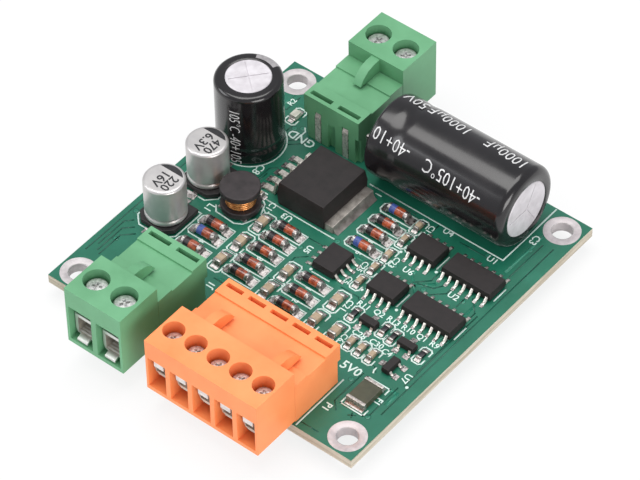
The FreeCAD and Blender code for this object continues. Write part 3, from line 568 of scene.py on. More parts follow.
green = dict(plastic="greenPlastic", slot="green_plastic", headRadius=1.65, headTall=1.15, shankRadius=1.2,
             crossWide=0.42, crossDeep=0.32, edge=0.16, plugs=0.22)
orange = dict(plastic="orangePlastic", slot="orange_plastic", headRadius=1.3, headTall=1.0, shankRadius=0.95,
              crossWide=0.36, crossDeep=0.28, edge=0.13, plugs=0.16)
blocks = {"motor": (green, 2), "power": (green, 2), "signal": (orange, 5)}
thread = dict(pitch=0.5, deep=0.26, crest=0.08, rootStart=0.26, rootEnd=0.32)
# cross recess: its reach as a share of the head's radius, and how much its tip narrows
recess = dict(reach=0.72, slope=0.42, narrow=0.8, turn=20)
# degrees that each screw is turned; those of the power plug are turned further
screwTurns = dict(each=(0, 34, -22, 51, 12), power=20)
# ribs in a green cage: in from its mouth, above its underside, and where each one starts
ribs = dict(inset=0.9, floor=0.75, half=1.36, sink=0.05, rise=0.03, wide=0.26,
            starts=(0.15, 0.65, 1.15, 1.65))
barEnds = dict(left=0.95, right=0.8, front=0.5, back=0.72, bottom=6.55, above=0.1, edge=0.07)
cages = dict(edge=0.12, lipHalf=1, lipDeep=0.93, clear=0.1,
             mouth=0.95, warmHalf=1.5, warmLow=0.5, warmHigh=0.45)


def buildHousings(spot, kind):
    header = softCopy(f"{spot}_header_housing", f"{spot}Header", kind["edge"])
    finishPiece(header, "board", kind["slot"], look[kind["plastic"]])
    plug = softCopy(f"{spot}_plug_housing", f"{spot}Plug", kind["plugs"], 3)
    finishPiece(plug, f"{spot}_plug", kind["slot"], look[kind["plastic"]])


def buildScrewMaster(kind):
    # domed cheese head with a pointed cross recess, and a threaded shank below it
    r, tall, shank = kind["headRadius"], kind["headTall"], kind["shankRadius"]
    low = -tall
    root = shank - thread["deep"]
    profile = [(0, 0.02), (r * 0.55, 0.0), (r * 0.82, -0.05)]
    profile += arc((r - 0.2, -0.26), 0.2, 80, 0, 4)
    profile += [(r, low + 0.12), (r - 0.12, low), (shank + 0.08, low)]
    depth = kind["shankLength"]
    turns = int((depth - 0.3) / thread["pitch"])
    for n in range(turns):
        level = low - 0.05 - n * thread["pitch"]
        profile += [(shank, level), (shank, level - thread["crest"]),
                    (root, level - thread["rootStart"]), (root, level - thread["rootEnd"])]
    profile += [(shank - 0.1, low - depth + 0.15), (shank - 0.35, low - depth), (0, low - depth)]
    screw = turned("screwMaster", profile, 40)
    cutters = []
    reach = r * recess["reach"]
    for turn in (0, 90):
        bar = addBlock("bar", (-reach, -kind["crossWide"] / 2, -kind["crossDeep"]),
                       (reach, kind["crossWide"] / 2, 0.5))
        # the ends of the recess slope in towards the tip
        for vertex in bar.data.vertices:
            if vertex.co.z < 0:
                vertex.co.x *= recess["slope"]
                vertex.co.y *= recess["narrow"]
        bar.data.transform(Matrix.Rotation(math.radians(turn + recess["turn"]), 4, "Z"))
        cutters.append(bar)
    cutAway(screw, cutters)
    return smoothPiece(screw, 32)


def buildScrews(spot, kind, count, master):
    for n in range(1, count + 1):
        nodeName = f"{spot}_screw_{n}"
        low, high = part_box(nodeName)
        middle = (low + high) / 2
        turn = screwTurns["each"][n - 1] + screwTurns.get(spot, 0)
        place = Matrix.Translation((middle.x, middle.y, high.z)) @ Matrix.Rotation(math.radians(turn), 4, "Z")
        screw = copyOf(master, f"{spot}Screw{n}", place)
        finishPiece(screw, nodeName, "steel_screw", look["steelScrew"], nodeName)


def buildJaws(spot, count):
    # low pale ribs on the floor of each cage, where the wire is gripped
    for n in range(1, count + 1):
        nodeName = f"{spot}_cage_{n}"
        low, high = boxOf(nodeName)
        x, floor = (low[0] + high[0]) / 2, low[2] + ribs["floor"]
        mouth, inward = (high[1] - ribs["inset"], -1) if spot == "power" else (low[1] + ribs["inset"], 1)
        bars = []
        for start in ribs["starts"]:
            edges = sorted((mouth + inward * start, mouth + inward * (start + ribs["wide"])))
            bars.append(addBlock("bar", (x - ribs["half"], edges[0], floor - ribs["sink"]),
                                 (x + ribs["half"], edges[1], floor + ribs["rise"])))
        finishPiece(joinAll(f"{spot}Jaw{n}", bars), nodeName, "cage_metal", look["paleTab"])


def buildBarEnds():
    # pale plates that hang in the top of the signal plug's windows
    front = boxOf("signal_plug_housing")[0][1]
    for n in range(1, 6):
        low, high = boxOf(f"signal_cage_{n}")
        x = (low[0] + high[0]) / 2
        end = addBlock(f"signalBarEnd{n}", (x - barEnds["left"], front + barEnds["front"], barEnds["bottom"]),
                       (x + barEnds["right"], front + barEnds["back"], high[2] + barEnds["above"]))
        finishPiece(roundEdges(end, barEnds["edge"]), "signal_plug", "tin", look["paleTab"])


def buildCages(spot, count):
    for n in range(1, count + 1):
        nodeName = f"{spot}_cage_{n}"
        cage = softCopy(nodeName, f"{spot}Cage{n}", cages["edge"])
        low, high = boxOf(nodeName)
        x = (low[0] + high[0]) / 2
        if spot == "signal":
            # the photo shows no lip under these windows
            half, clear = cages["lipHalf"], cages["clear"]
            lip = addBlock("lip", (x - half, low[1] - clear, low[2] - clear),
                           (x + half, low[1] + cages["lipDeep"], high[2]))
            cutAway(cage, [lip])
            finishPiece(cage, nodeName, "cage_metal", look["cageMetal"])
            continue
        # warm tone inside the cage, where the wire goes
        mouth = high[1] - cages["mouth"] if spot == "power" else low[1] + cages["mouth"]
        floor, roof = low[2] + cages["warmLow"], high[2] - cages["warmHigh"]
        cage.data.materials.append(look["cageMetal"])
        cage.data.materials.append(look["warmJaw"])
        for face in cage.data.polygons:
            at = face.center / mm
            behind = at.y < mouth if spot == "power" else at.y > mouth
            inside = abs(at.x - x) < cages["warmHalf"] and floor < at.z < roof
            face.material_index = 1 if inside and behind else 0
        finishPiece(cage, nodeName, "cage_metal", None)


for spot, (kind, count) in blocks.items():
    low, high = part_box(f"{spot}_screw_1")
    kind["shankLength"] = (high.z - low.z) / mm - kind["headTall"]
    buildHousings(spot, kind)
    master = buildScrewMaster(kind)
    buildScrews(spot, kind, count, master)
    bpy.data.objects.remove(master)
    buildCages(spot, count)
    if kind is green:
        buildJaws(spot, count)
buildBarEnds()
print("terminal blocks done")


# electrolytic capacitors

bulkLow, bulkHigh = boxOf("bulk_capacitor_can")
bulk = dict(
    x0=bulkLow[0], x1=bulkHigh[0], y=(bulkLow[1] + bulkHigh[1]) / 2, z=(bulkLow[2] + bulkHigh[2]) / 2,
    r=(bulkHigh[1] - bulkLow[1]) / 2, disc=4.45, crimp=3.9, crimpDeep=0.13, crimpWide=1.7, rim=1.3, open=4.4,
    scores=[(30, 4.0), (150, 4.0), (270, 4.0)],
    # text, size, place along X and angle round the can; weight thins the letters, stretch makes them
    # taller, and skew makes the line of words lean
    print=[("-40+105°C", 2.3, 12.1, 36), ("-40+10", 2.3, 1.0, 43), ("1000µF", 2.5, 5.9, 114),
           ("50V", 2.5, -0.3, 116), ("1000µF", 2.5, 16.2, 110)],
    weight=-0.018, stretch=1.28, skew=0.08)

inLow, inHigh = boxOf("input_capacitor_can")
upright = dict(
    x=(inLow[0] + inHigh[0]) / 2, y=(inLow[1] + inHigh[1]) / 2, z0=inLow[2], z1=inHigh[2],
    r=(inHigh[0] - inLow[0]) / 2, disc=3.45, crimp=2.6, crimpDeep=0.14, crimpWide=0.85, rim=0.8, open=3.0,
    scores=[(50, 3.0), (140, 3.0), (230, 3.0), (320, 3.0)],
    # text, size, height and angle round the can
    print=[("105°C", 1.7, 10.3, -76), ("-40+105", 1.75, 4.7, -76)],
    weight=-0.025, stretch=1.45, stripeWide=50, stripeTurn=114, stripeRise=0.025, stripeThick=0.03)
printThick = 0.03       # of the words on the film, in mm


def filmProfile(can, tall):
    # film over the can, turned in over the rim at the closed end and round the crimp near the open end
    r, disc, rim = can["r"], can["disc"], can["rim"]
    crimp, deep, wide = can["crimp"], can["crimpDeep"], can["crimpWide"]
    profile = [(0, 0.12), (can["open"], 0.12), (can["open"], 0.0)]
    profile += arc((r - 0.55, 0.55), 0.55, -90, 0, 4)
    profile += [(r - deep * (1 + math.cos(math.pi * n / 4)) / 2, crimp + wide * n / 4) for n in range(-4, 5)]
    profile += arc((r - rim, tall - rim), rim, 0, 78, 7)
    profile += [(disc + 0.22, tall - 0.04), (disc, tall - 0.1), (disc - 0.02, tall - 0.28), (0, tall - 0.28)]
    return profile


def buildDisc(name, radius, scores):
    # shallow pressed end with scored vent lines
    disc = turned(name, [(0, 0), (radius, 0), (radius, 0.14), (radius - 0.12, 0.24), (0, 0.24)], 56)
    cutters = []
    for turn, reach in scores:
        bar = addBlock("score", (0, -0.07, 0.13), (reach, 0.07, 0.5))
        bar.data.transform(Matrix.Rotation(math.radians(turn), 4, "Z"))
        cutters.append(bar)
    cutAway(disc, cutters)
    return smoothPiece(disc, 30)


def lieAlongX(piece, can):
    # the turned shape's axis goes from Z to +X, its foot at the can's open end
    place = Matrix.Translation((can["x0"] * mm, can["y"] * mm, can["z"] * mm))
    piece.data.transform(place @ Matrix.Rotation(math.radians(90), 4, "Y"))
    return piece


def subdivideAll(piece, cuts):
    editAll(piece)
    bpy.ops.mesh.quads_convert_to_tris()
    bpy.ops.mesh.subdivide(number_cuts=cuts)
    bpy.ops.object.mode_set(mode="OBJECT")
    return piece


def wrapWords(can, text, size, middle, angle):
    # words bent round a lying can: they read towards -X with their tops pointing down its front side
    words = subdivideAll(lettering(text, size, can["weight"], printThick), 2)
    r = can["r"] + printThick
    for vertex in words.data.vertices:
        u, v, w = vertex.co.x / mm, vertex.co.y / mm * can["stretch"], vertex.co.z / mm
        a = math.radians(angle) - v / r + can["skew"] * u / r
        reach = r + w
        spot = (middle - u, can["y"] - reach * math.cos(a), can["z"] + reach * math.sin(a))
        vertex.co = [c * mm for c in spot]
    return faceOutwards(words)


def wrapColumn(can, text, size, middle, angle):
    # words bent round an upright can: they read downwards, letter tops to the right as seen from outside
    words = subdivideAll(lettering(text, size, can["weight"], printThick), 2)
    r = can["r"] + printThick
    for vertex in words.data.vertices:
        u, v, w = vertex.co.x / mm, vertex.co.y / mm * can["stretch"], vertex.co.z / mm
        a = math.radians(angle) + v / r
        reach = r + w
        spot = (can["x"] + reach * math.cos(a), can["y"] + reach * math.sin(a), middle - u)
        vertex.co = [c * mm for c in spot]
    return faceOutwards(words)


def buildBulkCapacitor():
    c = bulk
    tall = c["x1"] - c["x0"]
    film = turned("bulkFilm", filmProfile(c, tall), 72)
    lieAlongX(film, c)
    smoothPiece(film, 50)
    finishPiece(film, "board", "black_film", look["blackFilm"], "bulk_capacitor_can")
    disc = buildDisc("bulkDisc", c["disc"] - 0.02, c["scores"])
    disc.data.transform(Matrix.Translation((0, 0, (tall - 0.3) * mm)))
    lieAlongX(disc, c)
    finishPiece(disc, "board", "can_aluminium", look["canTop"])
    words = [wrapWords(c, *row) for row in c["print"]]
    finishPiece(joinAll("bulkPrint", words), "board", "black_film", look["whitePrint"])


def buildUprightCapacitor():
    c = upright
    tall = c["z1"] - c["z0"]
    film = turned("uprightFilm", filmProfile(c, tall), 64)
    film.data.transform(placed(c["x"], c["y"], c["z0"]))
    smoothPiece(film, 50)
    finishPiece(film, "board", "black_film", look["blackFilm"], "input_capacitor_can")
    disc = buildDisc("uprightDisc", c["disc"] - 0.02, c["scores"])
    disc.data.transform(placed(c["x"], c["y"], c["z1"] - 0.3))
    finishPiece(disc, "board", "can_aluminium", look["canTop"])
    # pale stripe that marks the negative side, over the top rim and down the back
    outline = [(r + c["stripeRise"], h + (0.012 if h > tall - 0.5 else 0)) for r, h in filmProfile(c, tall)
               if r > c["disc"] + 0.3 and h > 0.6]
    stripe = turned("uprightStripe", outline + [(c["disc"] + 0.4, tall)], 12, c["stripeWide"])
    thick = stripe.modifiers.new("thickness", "SOLIDIFY")
    thick.thickness = c["stripeThick"] * mm
    activate(stripe)
    bpy.ops.object.modifier_apply(modifier=thick.name)
    stripe.data.transform(placed(c["x"], c["y"], c["z0"], c["stripeTurn"]))
    finishPiece(smoothPiece(stripe, 50), "board", "black_film", look["filmStripe"])
    words = [wrapColumn(c, *row) for row in c["print"]]
    finishPiece(joinAll("uprightPrint", words), "board", "black_film", look["whitePrint"])


buildBulkCapacitor()
buildUprightCapacitor()

bung = softCopy("bulk_capacitor_bung", "bulkBung", 0.12)
finishPiece(bung, "board", "rubber_bung", look["darkRubber"])
bulkLeads = softCopy("capacitor_leads", "bulkLeads", 0.24, 4)
finishPiece(bulkLeads, "board", "tin", look["solderMetal"])

smdLow, smdHigh = boxOf("smd_capacitor_cans")
smdCan = dict(r=3.15, z0=smdLow[2], z1=smdHigh[2], shoulder=0.45, chord=1.6, inkThick=0.02,
              words=(("220", "16V"), ("470", "6.3V")), wordShifts=(1.25, -0.35), wordSize=2.0,
              wordWeight=0.035)
smdSpots = [(smdLow[0] + smdCan["r"], smdLow[1] + smdCan["r"]),
            (smdHigh[0] - smdCan["r"], smdHigh[1] - smdCan["r"])]


def buildSmdCans():
    r, z0, z1, s = smdCan["r"], smdCan["z0"], smdCan["z1"], smdCan["shoulder"]
    ink = smdCan["inkThick"]
    profile = [(0, z0), (r - 0.3, z0), (r - 0.1, z0 + 0.1), (r, z0 + 0.3), (r, z0 + 0.62),
               (r - 0.08, z0 + 0.8), (r - 0.2, z0 + 0.92), (r - 0.2, z0 + 1.02), (r - 0.09, z0 + 1.16),
               (r - 0.03, z0 + 1.4)]
    profile += arc((r - s, z1 - s), s, 0, 90, 6)
    profile += [(r - s - 0.3, z1), (0, z1)]
    can = turned("smdCan", profile, 56)
    cans = scatter(can, "smdCans", smdSpots)
    smoothPiece(cans, 50)
    finishPiece(cans, "board", "can_aluminium", look["castAluminium"], "smd_capacitor_cans")
    # black segment printed on the top, cut from a disc
    disc = addRod("segment", r - s - 0.02, z1, z1 + ink, 56)
    editAll(disc)
    bpy.ops.mesh.bisect(plane_co=(0, smdCan["chord"] * mm, 0), plane_no=(0, 1, 0), use_fill=True,
                        clear_inner=True)
    bpy.ops.object.mode_set(mode="OBJECT")
    marks = [scatter(disc, "segments", smdSpots)]
    for (x, y), lines in zip(smdSpots, smdCan["words"]):
        for text, shift in zip(lines, smdCan["wordShifts"]):
            words = lettering(text, smdCan["wordSize"], smdCan["wordWeight"], ink)
            words.data.transform(placed(x + shift, y - 0.4, z1 + ink / 2, -90))
            marks.append(words)
    finishPiece(joinAll("smdPrint", marks), "board", "black_base", look["blackPrint"])


buildSmdCans()
bases = softCopy("smd_capacitor_bases", "smdBases", 0.15)
finishPiece(bases, "board", "black_base", look["blackBase"])
smdTerminals = softCopy("smd_capacitor_terminals", "smdTerminals", 0.05)
finishPiece(smdTerminals, "board", "tin", look["brightTin"])
print("capacitors done")


# inductor and regulator

wireTurns = 6           # of copper wire that show on the inductor's side


def buildInductor():
    core = softCopy("inductor_core", "inductorCore", 0.18, 3)
    finishPiece(core, "board", "ferrite", look["ferrite"])
    low, high = boxOf("inductor_winding")
    x, y = (low[0] + high[0]) / 2, (low[1] + high[1]) / 2
    r = (high[0] - low[0]) / 2
    z0, z1 = low[2], high[2]
    wire = (z1 - z0) / wireTurns
    profile = [(0, z0)]
    for n in range(wireTurns):
        profile += arc((r - wire / 2, z0 + wire * (n + 0.5)), wire / 2, -80, 80, 5)
    profile.append((0, z1))
    winding = turned("inductorWinding", profile, 56)
    winding.data.transform(placed(x, y))
    smoothPiece(winding, 60)
    finishPiece(winding, "board", "copper_wire", look["copperWire"], "inductor_winding")
    ends = softCopy("inductor_terminals", "inductorTerminals", 0.05)
    finishPiece(ends, "board", "tin", look["solderMetal"])


buildInductor()
for nodeName, pieceName, edge, finish, slotName in (
        ("regulator_body", "regulatorBody", 0.14, "chipEpoxy", "chip_epoxy"),
        ("regulator_leads", "regulatorLeads", 0.08, "leadTin", "tin"),
        ("ic_bodies", "icBodies", 0.07, "chipEpoxy", "chip_epoxy"),
        ("ic_leads", "icLeads", 0.035, "leadTin", "tin"),
        ("transistor_bodies", "transistorBodies", 0.06, "chipEpoxy", "chip_epoxy"),
        ("transistor_leads", "transistorLeads", 0.03, "leadTin", "tin"),
        ("chip_capacitor_bodies", "chipCapacitorBodies", 0.06, "chipCeramic", "chip_ceramic"),
        ("chip_terminations", "chipTerminations", 0.07, "chipPlating", "tin"),
        ("chip_resistor_bodies", "chipResistorBodies", 0.03, "resistorTop", "resistor_top"),
        ("fuse_body", "fuseBody", 0.08, "fuseFilm", "fuse_film"),
        ("indicator_led", "indicatorLed", 0.08, "ledLens", "led_lens"),
        ("mosfet_bodies", "mosfetBodies", 0.1, "chipEpoxy", "chip_epoxy"),
        ("mosfet_metal", "mosfetMetal", 0.05, "brightTin", "tin")):
    finishPiece(softCopy(nodeName, pieceName, edge), "board", slotName, look[finish])
print("chips done")


# glass diodes

diode = dict(long=3.5, r=0.725, cap=0.6, bandStart=0.5, band=0.95, z=2.325)
diodeSpots = [(-14.8, -5.7), (-14.8, -7.9), (-14.8, -10.9),
              (-6.0, -0.1), (-6.0, -2.7), (-6.0, -5.4), (-6.0, -8.25), (-6.0, -10.85),
              (3.0, -5.6), (3.0, -8.5), (3.0, -11.5),
              (4.2, 12.35), (4.2, 9.6), (4.2, 7.0), (4.2, 4.15)]
blueBands = {(-14.8, -7.9), (4.2, 12.35), (4.2, 4.15)}


def buildDiodes():
    half, r, cap = diode["long"] / 2, diode["r"], diode["cap"]
    lie = placed(0, 0, diode["z"]) @ Matrix.Rotation(math.radians(90), 4, "Y")
    tip = half - cap * 0.6
    glass = turned("glass", [(0, -tip), (r - 0.06, -tip), (r - 0.03, -half + cap + 0.05),
                             (r, -half + cap + 0.35), (r, half - cap - 0.35), (r - 0.03, half - cap - 0.05),
                             (r - 0.06, tip), (0, tip)], 32)
    glass.data.transform(lie)
    capProfile = [(0, 0), (r - 0.12, 0), (r, 0.1), (r, cap - 0.06), (r - 0.05, cap), (0, cap)]
    capShape = turned("cap", capProfile, 32)
    back = copyOf(capShape, "cap", Matrix.Translation((0, 0, half * mm)) @ Matrix.Rotation(math.pi, 4, "X"))
    capShape.data.transform(Matrix.Translation((0, 0, -half * mm)))
    caps = joinAll("caps", [capShape, back])
    caps.data.transform(lie)
    start = -half + diode["bandStart"]
    stop = start + diode["band"]
    band = turned("band", [(r - 0.04, start), (r + 0.015, start), (r + 0.015, stop), (r - 0.04, stop),
                           (r - 0.04, start)], 32)
    band.data.transform(lie)
    blue = copyOf(band, "band", Matrix.Identity(4))
    glass = smoothPiece(scatter(glass, "diodeGlass", diodeSpots), 50)
    caps = smoothPiece(scatter(caps, "diodeCaps", diodeSpots))
    dark = smoothPiece(scatter(band, "diodeBands", [s for s in diodeSpots if s not in blueBands]))
    blue = smoothPiece(scatter(blue, "diodeBlueBands", [s for s in diodeSpots if s in blueBands]))
    finishPiece(glass, "board", "orange_glass", look["orangeGlass"], "diode_glass")
    finishPiece(caps, "board", "tin", look["solderMetal"], "diode_end_caps")
    finishPiece(dark, "board", "black_film", look["bandInk"])
    finishPiece(blue, "board", "black_film", look["blueInk"])


buildDiodes()
print("diodes done")


# copper under the mask, solder and silkscreen

chips = dict(
    # centres of the parts that lie along Y
    big=[(-10.0, -1.1), (-10.0, -5.9), (-10.0, -10.3), (-1.1, -6.2), (-1.1, -10.55), (7.8, -6.1),
         (7.7, -10.7), (11.3, -10.8)],
    small=[(8.0, 12.2), (8.0, 8.9), (8.0, 5.2), (8.0, 2.0), (8.0, -1.3), (14.2, -10.9), (16.1, -11.0),
           (18.05, -11.1)],
    resistors=[(11.2, -6.5), (16.4, -6.2), (18.2, -6.5), (23.35, -6.7)],
    fuse=[(21.8, -17.3)],
    led=[(-20.0, 18.6)],
    # centre of the one that lies along X
    across=[(-14.1, 3.0)],
)
circuits = dict(
    # centres, with 4 leads a side, 7 leads a side, and 4 a side on a body that lies along Y
    eight=[(12.2, 8.9), (12.2, -0.25)], fourteen=[(20.35, 8.9), (20.4, -0.3)], turned=[(2.95, -1.0)],
    pitch=1.27, toe=2.97)
transistors = dict(
    # centres, with the single lead towards +Y, and towards -X
    forward=[(14.0, -6.7), (20.8, -6.7)], sideways=[(21.4, -11.1)],
    pair=0.95, pairReach=1.22, singleReach=1.18)
regulatorFeet = dict(count=5, pitch=1.7, inX=0.05, inY=0.4)
# solder at both ends of a part: the fillet's width, reach and height, and its distance from the centre
endSolder = dict(diode=(1.5, 1.05, 0.55, 1.72), big=(1.35, 0.85, 0.75, 0.98), small=(0.95, 0.6, 0.6, 0.78),
                 resistor=(0.95, 0.6, 0.4, 0.78), fuse=(3.1, 0.55, 0.8, 2.23), led=(0.95, 0.7, 0.4, 0.78),
                 can=(1.7, 1.0, 0.32, 3.62))
# solder at the tip of a lead: the fillet's width, reach and height
tipSolder = dict(toe=(0.52, 0.42, 0.2), foot=(0.95, 0.75, 0.22), regulator=(1.15, 0.8, 0.42))


def prism(name, corners, width):
    # a side view of (reach, height) corners in mm, given a width along Y
    deselectAll()
    bpy.ops.mesh.primitive_circle_add(vertices=len(corners), radius=mm, fill_type="NGON")
    piece = bpy.context.object
    piece.name = name
    for vertex, (u, h) in zip(piece.data.vertices, corners):
        vertex.co = (u * mm, -width / 2 * mm, h * mm)
    editAll(piece)
    bpy.ops.mesh.extrude_region_move(TRANSFORM_OT_translate={"value": (0, width * mm, 0)})
    return faceOutwards(piece)


def fillet(name, width, reach, tall):
    # solder that climbs the end of a part, on the pad that sticks out beyond it
    corners = [(-0.1, 0.01), (reach, 0.01), (reach, 0.06), (reach * 0.5, 0.11), (reach * 0.2, tall * 0.4),
               (0.02, tall), (-0.1, tall)]
    return roundEdges(prism(name, corners, width), 0.04, 1, 50)


def bothEnds(spots, reach, turn):
    # places for the two ends of each part: away from its centre along its length
    a = math.radians(turn)
    dx, dy = reach * math.cos(a), reach * math.sin(a)
    ends = [(x + dx, y + dy, boardTop, turn) for x, y in spots]
    return ends + [(x - dx, y - dy, boardTop, turn + 180) for x, y in spots]


# the regulator's tab: where it ends and its solder starts, and how far the solder reaches
tab = dict(end=-0.9, edge=0.08, reach=0.85, solderEdge=0.06, margin=0.3)


def buildTab():
    low, high = boxOf("regulator_tab")
    plate = addBlock("regulatorTab", low, (tab["end"], high[1], high[2]))
    finishPiece(roundEdges(plate, tab["edge"]), "board", "tin", look["tabTop"], "regulator_tab")
    deep, tall = high[1] - low[1], high[2] - low[2]
    corners = [(-0.2, 0.01), (tab["reach"], 0.01), (tab["reach"] - 0.05, 0.08), (0.45, 0.25), (0.2, 0.6),
               (0.03, tall - 0.15), (-0.2, tall - 0.1)]
    slope = roundEdges(prism("tabSolder", corners, deep - tab["margin"]), tab["solderEdge"], 2, 50)
    slope.data.transform(placed(tab["end"], (low[1] + high[1]) / 2, boardTop))
    finishPiece(slope, "board", "tin", look["tabTin"])


buildTab()


def buildSolder():
    # kind of solder, centres of the parts, and their turn
    groups = [("diode", diodeSpots, 0), ("big", chips["big"], 90), ("small", chips["small"], 90),
              ("small", chips["across"], 0), ("resistor", chips["resistors"], 90),
              ("fuse", chips["fuse"], 90), ("led", chips["led"], 90), ("can", smdSpots, 90)]
    spread = []
    for kind, spots, turn in groups:
        width, reach, tall, away = endSolder[kind]
        places = bothEnds(spots, away, turn)
        spread.append(scatter(fillet("fillet", width, reach, tall), f"{kind}Solder", places))
    toes = []
    for name, count in (("eight", 4), ("fourteen", 7)):
        for x, y in circuits[name]:
            for n in range(count):
                across = x + (n - (count - 1) / 2) * circuits["pitch"]
                toes += bothEnds([(across, y)], circuits["toe"], 90)
    for x, y in circuits["turned"]:
        for n in range(4):
            toes += bothEnds([(x, y + (n - 1.5) * circuits["pitch"])], circuits["toe"], 0)
    spread.append(scatter(fillet("fillet", *tipSolder["toe"]), "toeSolder", toes))
    pair, far, near = transistors["pair"], transistors["pairReach"], transistors["singleReach"]
    feet = []
    for x, y in transistors["forward"]:
        feet += [(x + side, y - far, boardTop, -90) for side in (-pair, pair)]
        feet.append((x, y + near, boardTop, 90))
    for x, y in transistors["sideways"]:
        feet += [(x + far, y + side, boardTop, 0) for side in (-pair, pair)]
        feet.append((x - near, y, boardTop, 180))
    spread.append(scatter(fillet("fillet", *tipSolder["foot"]), "footSolder", feet))
    low = boxOf("regulator_leads")[0]
    row = regulatorFeet
    feet = [(low[0] + row["inX"], low[1] + row["inY"] + row["pitch"] * n, boardTop, 180)
            for n in range(row["count"])]
    spread.append(scatter(fillet("fillet", *tipSolder["regulator"]), "regulatorSolder", feet))
    return finishPiece(smoothPiece(joinAll("solder", spread), 50), "board", "tin", look["solderMetal"])


pinHalf = 0.5           # about half the side of a header pin, in mm
leadHoles = [(-5.0, 17.1), (-5.0, 22.1)]        # where the lying capacitor's leads enter the board


def buildTails():
    # solder cones under the board, round the pin tails and at the lying capacitor's leads
    cone = turned("cone", [(0, 0.0), (1.15, 0.0), (1.1, -0.1), (0.75, -0.45), (0.62, -0.95), (0, -0.95)], 24)
    spots = []
    for spot, (_, count) in blocks.items():
        low, high = boxOf(f"{spot}_header_pins")
        x0, x1 = low[0] + pinHalf, high[0] - pinHalf
        y = low[1] + pinHalf if spot == "power" else high[1] - pinHalf
        spots += [(x0 + (x1 - x0) * n / (count - 1), y) for n in range(count)]
    spots += leadHoles
    cones = smoothPiece(scatter(cone, "tailSolder", spots), 50)
    return finishPiece(cones, "board", "tin", look["solderMetal"])


copper = dict(
    # widths and heights above the board, in mm
    gapWide=0.22, gapThick=0.012, trackWide=0.5, trackThick=0.009, moatThick=0.008, drillThick=0.01,
    via=0.37, moat=0.47, drill=0.11,
    gaps=[
        [(23.9, 12.6), (23.95, 20.4)], [(25.6, 20.6), (25.6, -18.5)], [(24.9, 3.8), (24.9, -12.5)],
        [(22.4, 6.1), (24.3, 4.1), (24.3, -2.2), (24.7, -3.0), (24.7, -9.5)],
        [(15.7, 7.4), (15.7, 5.2), (13.9, 3.4)], [(17.6, 6.9), (17.6, 5.4), (16.8, 4.2), (14.6, 3.6)],
        [(18.9, 6.2), (18.9, 4.6), (17.2, 3.0)], [(20.2, 6.2), (20.2, 4.2)], [(21.5, 6.2), (21.5, 3.6)],
        [(-26.6, -20.4), (-26.6, 20.4)], [(-25.9, -18.5), (-25.9, -13.0), (-25.0, -12.0)],
        [(-25.2, -19.5), (-25.2, -14.2), (-24.0, -13.0)], [(-24.5, -20.0), (-24.5, -15.4), (-23.0, -13.9)],
        [(-17.3, 13.4), (-15.6, 15.0), (-15.6, 16.2)], [(-17.9, 13.9), (-16.4, 15.4)],
        [(-18.4, 14.5), (-17.0, 15.9)],
        [(-19.2, 15.6), (-19.2, 17.4)], [(-25.0, 16.0), (-22.0, 19.0), (-22.0, 22.0)],
        [(-16.3, 4.0), (-16.3, 8.0), (-15.4, 8.9)], [(-15.9, 5.0), (-15.9, 7.0)],
        [(-12.7, -13.6), (-12.7, -12.4), (-11.9, -11.6)], [(-8.6, -13.4), (-5.0, -13.4)],
        [(6.1, -2.6), (6.1, 2.4), (6.9, 3.2), (6.9, 6.4)], [(6.5, -3.6), (9.6, -3.6), (10.4, -4.4)],
        [(-0.9, -2.0), (-2.2, -3.3), (-2.2, -4.6)], [(-2.9, 0.9), (0.2, 0.9)], [(4.6, -13.2), (12.0, -13.2)],
        [(12.4, -12.3), (19.5, -12.3), (20.2, -13.0)], [(19.0, -14.3), (19.0, -20.5), (20.2, -21.7)],
        [(24.4, -13.4), (24.4, -19.6), (23.6, -20.4), (20.5, -20.4)],
        [(10.0, 14.2), (10.0, 12.0), (9.4, 11.4)], [(14.5, 13.6), (19.5, 13.6)], [(2.0, 14.0), (6.0, 14.0)],
        [(-4.6, -1.8), (-3.4, -1.8)], [(-2.6, -8.6), (-0.2, -8.6)], [(5.6, -7.2), (5.6, -9.8)],
        [(-20.6, -26.6), (-17.6, -26.6)], [(17.9, -26.3), (20.7, -26.3)], [(22.1, -21.4), (22.9, -20.9)],
        [(22.3, -20.8), (22.7, -21.5)],
    ],
    tracks=[
        [(22.9, 13.2), (22.9, 22.0)], [(23.4, 5.2), (23.4, -4.6)],
        [(21.8, -14.3), (25.0, -14.3), (25.0, -16.6)],
        [(12.9, 5.6), (12.9, 4.4), (15.2, 2.1)], [(16.5, 6.0), (16.5, 5.0), (14.6, 3.1)],
        [(-24.9, 17.3), (-23.0, 19.2), (-23.0, 21.8)], [(-17.9, -1.5), (-17.9, 3.0)],
        [(-8.0, -13.0), (-4.5, -13.0)], [(9.4, 13.4), (9.4, 7.2)], [(3.6, 2.2), (6.4, 2.2)],
        [(0.6, -13.2), (3.6, -13.2)], [(10.0, -8.6), (12.4, -8.6)],
    ],
    vias=[
        (23.1, 18.5), (21.6, 4.85), (18.35, -16.1), (24.4, -20.0), (-24.6, -16.3), (-25.9, -10.4),
        (-17.2, -0.2), (-2.9, -1.2), (0.6, 2.9), (5.5, 0.4), (9.9, 4.3), (13.6, 2.6), (15.9, 3.2),
        (10.1, 0.2), (19.0, 14.0), (23.3, 10.9), (-16.9, 9.6), (-18.6, 16.6), (-17.6, 17.3),
        (-12.4, -13.8), (11.6, -13.6), (19.9, -8.9),
    ],
)


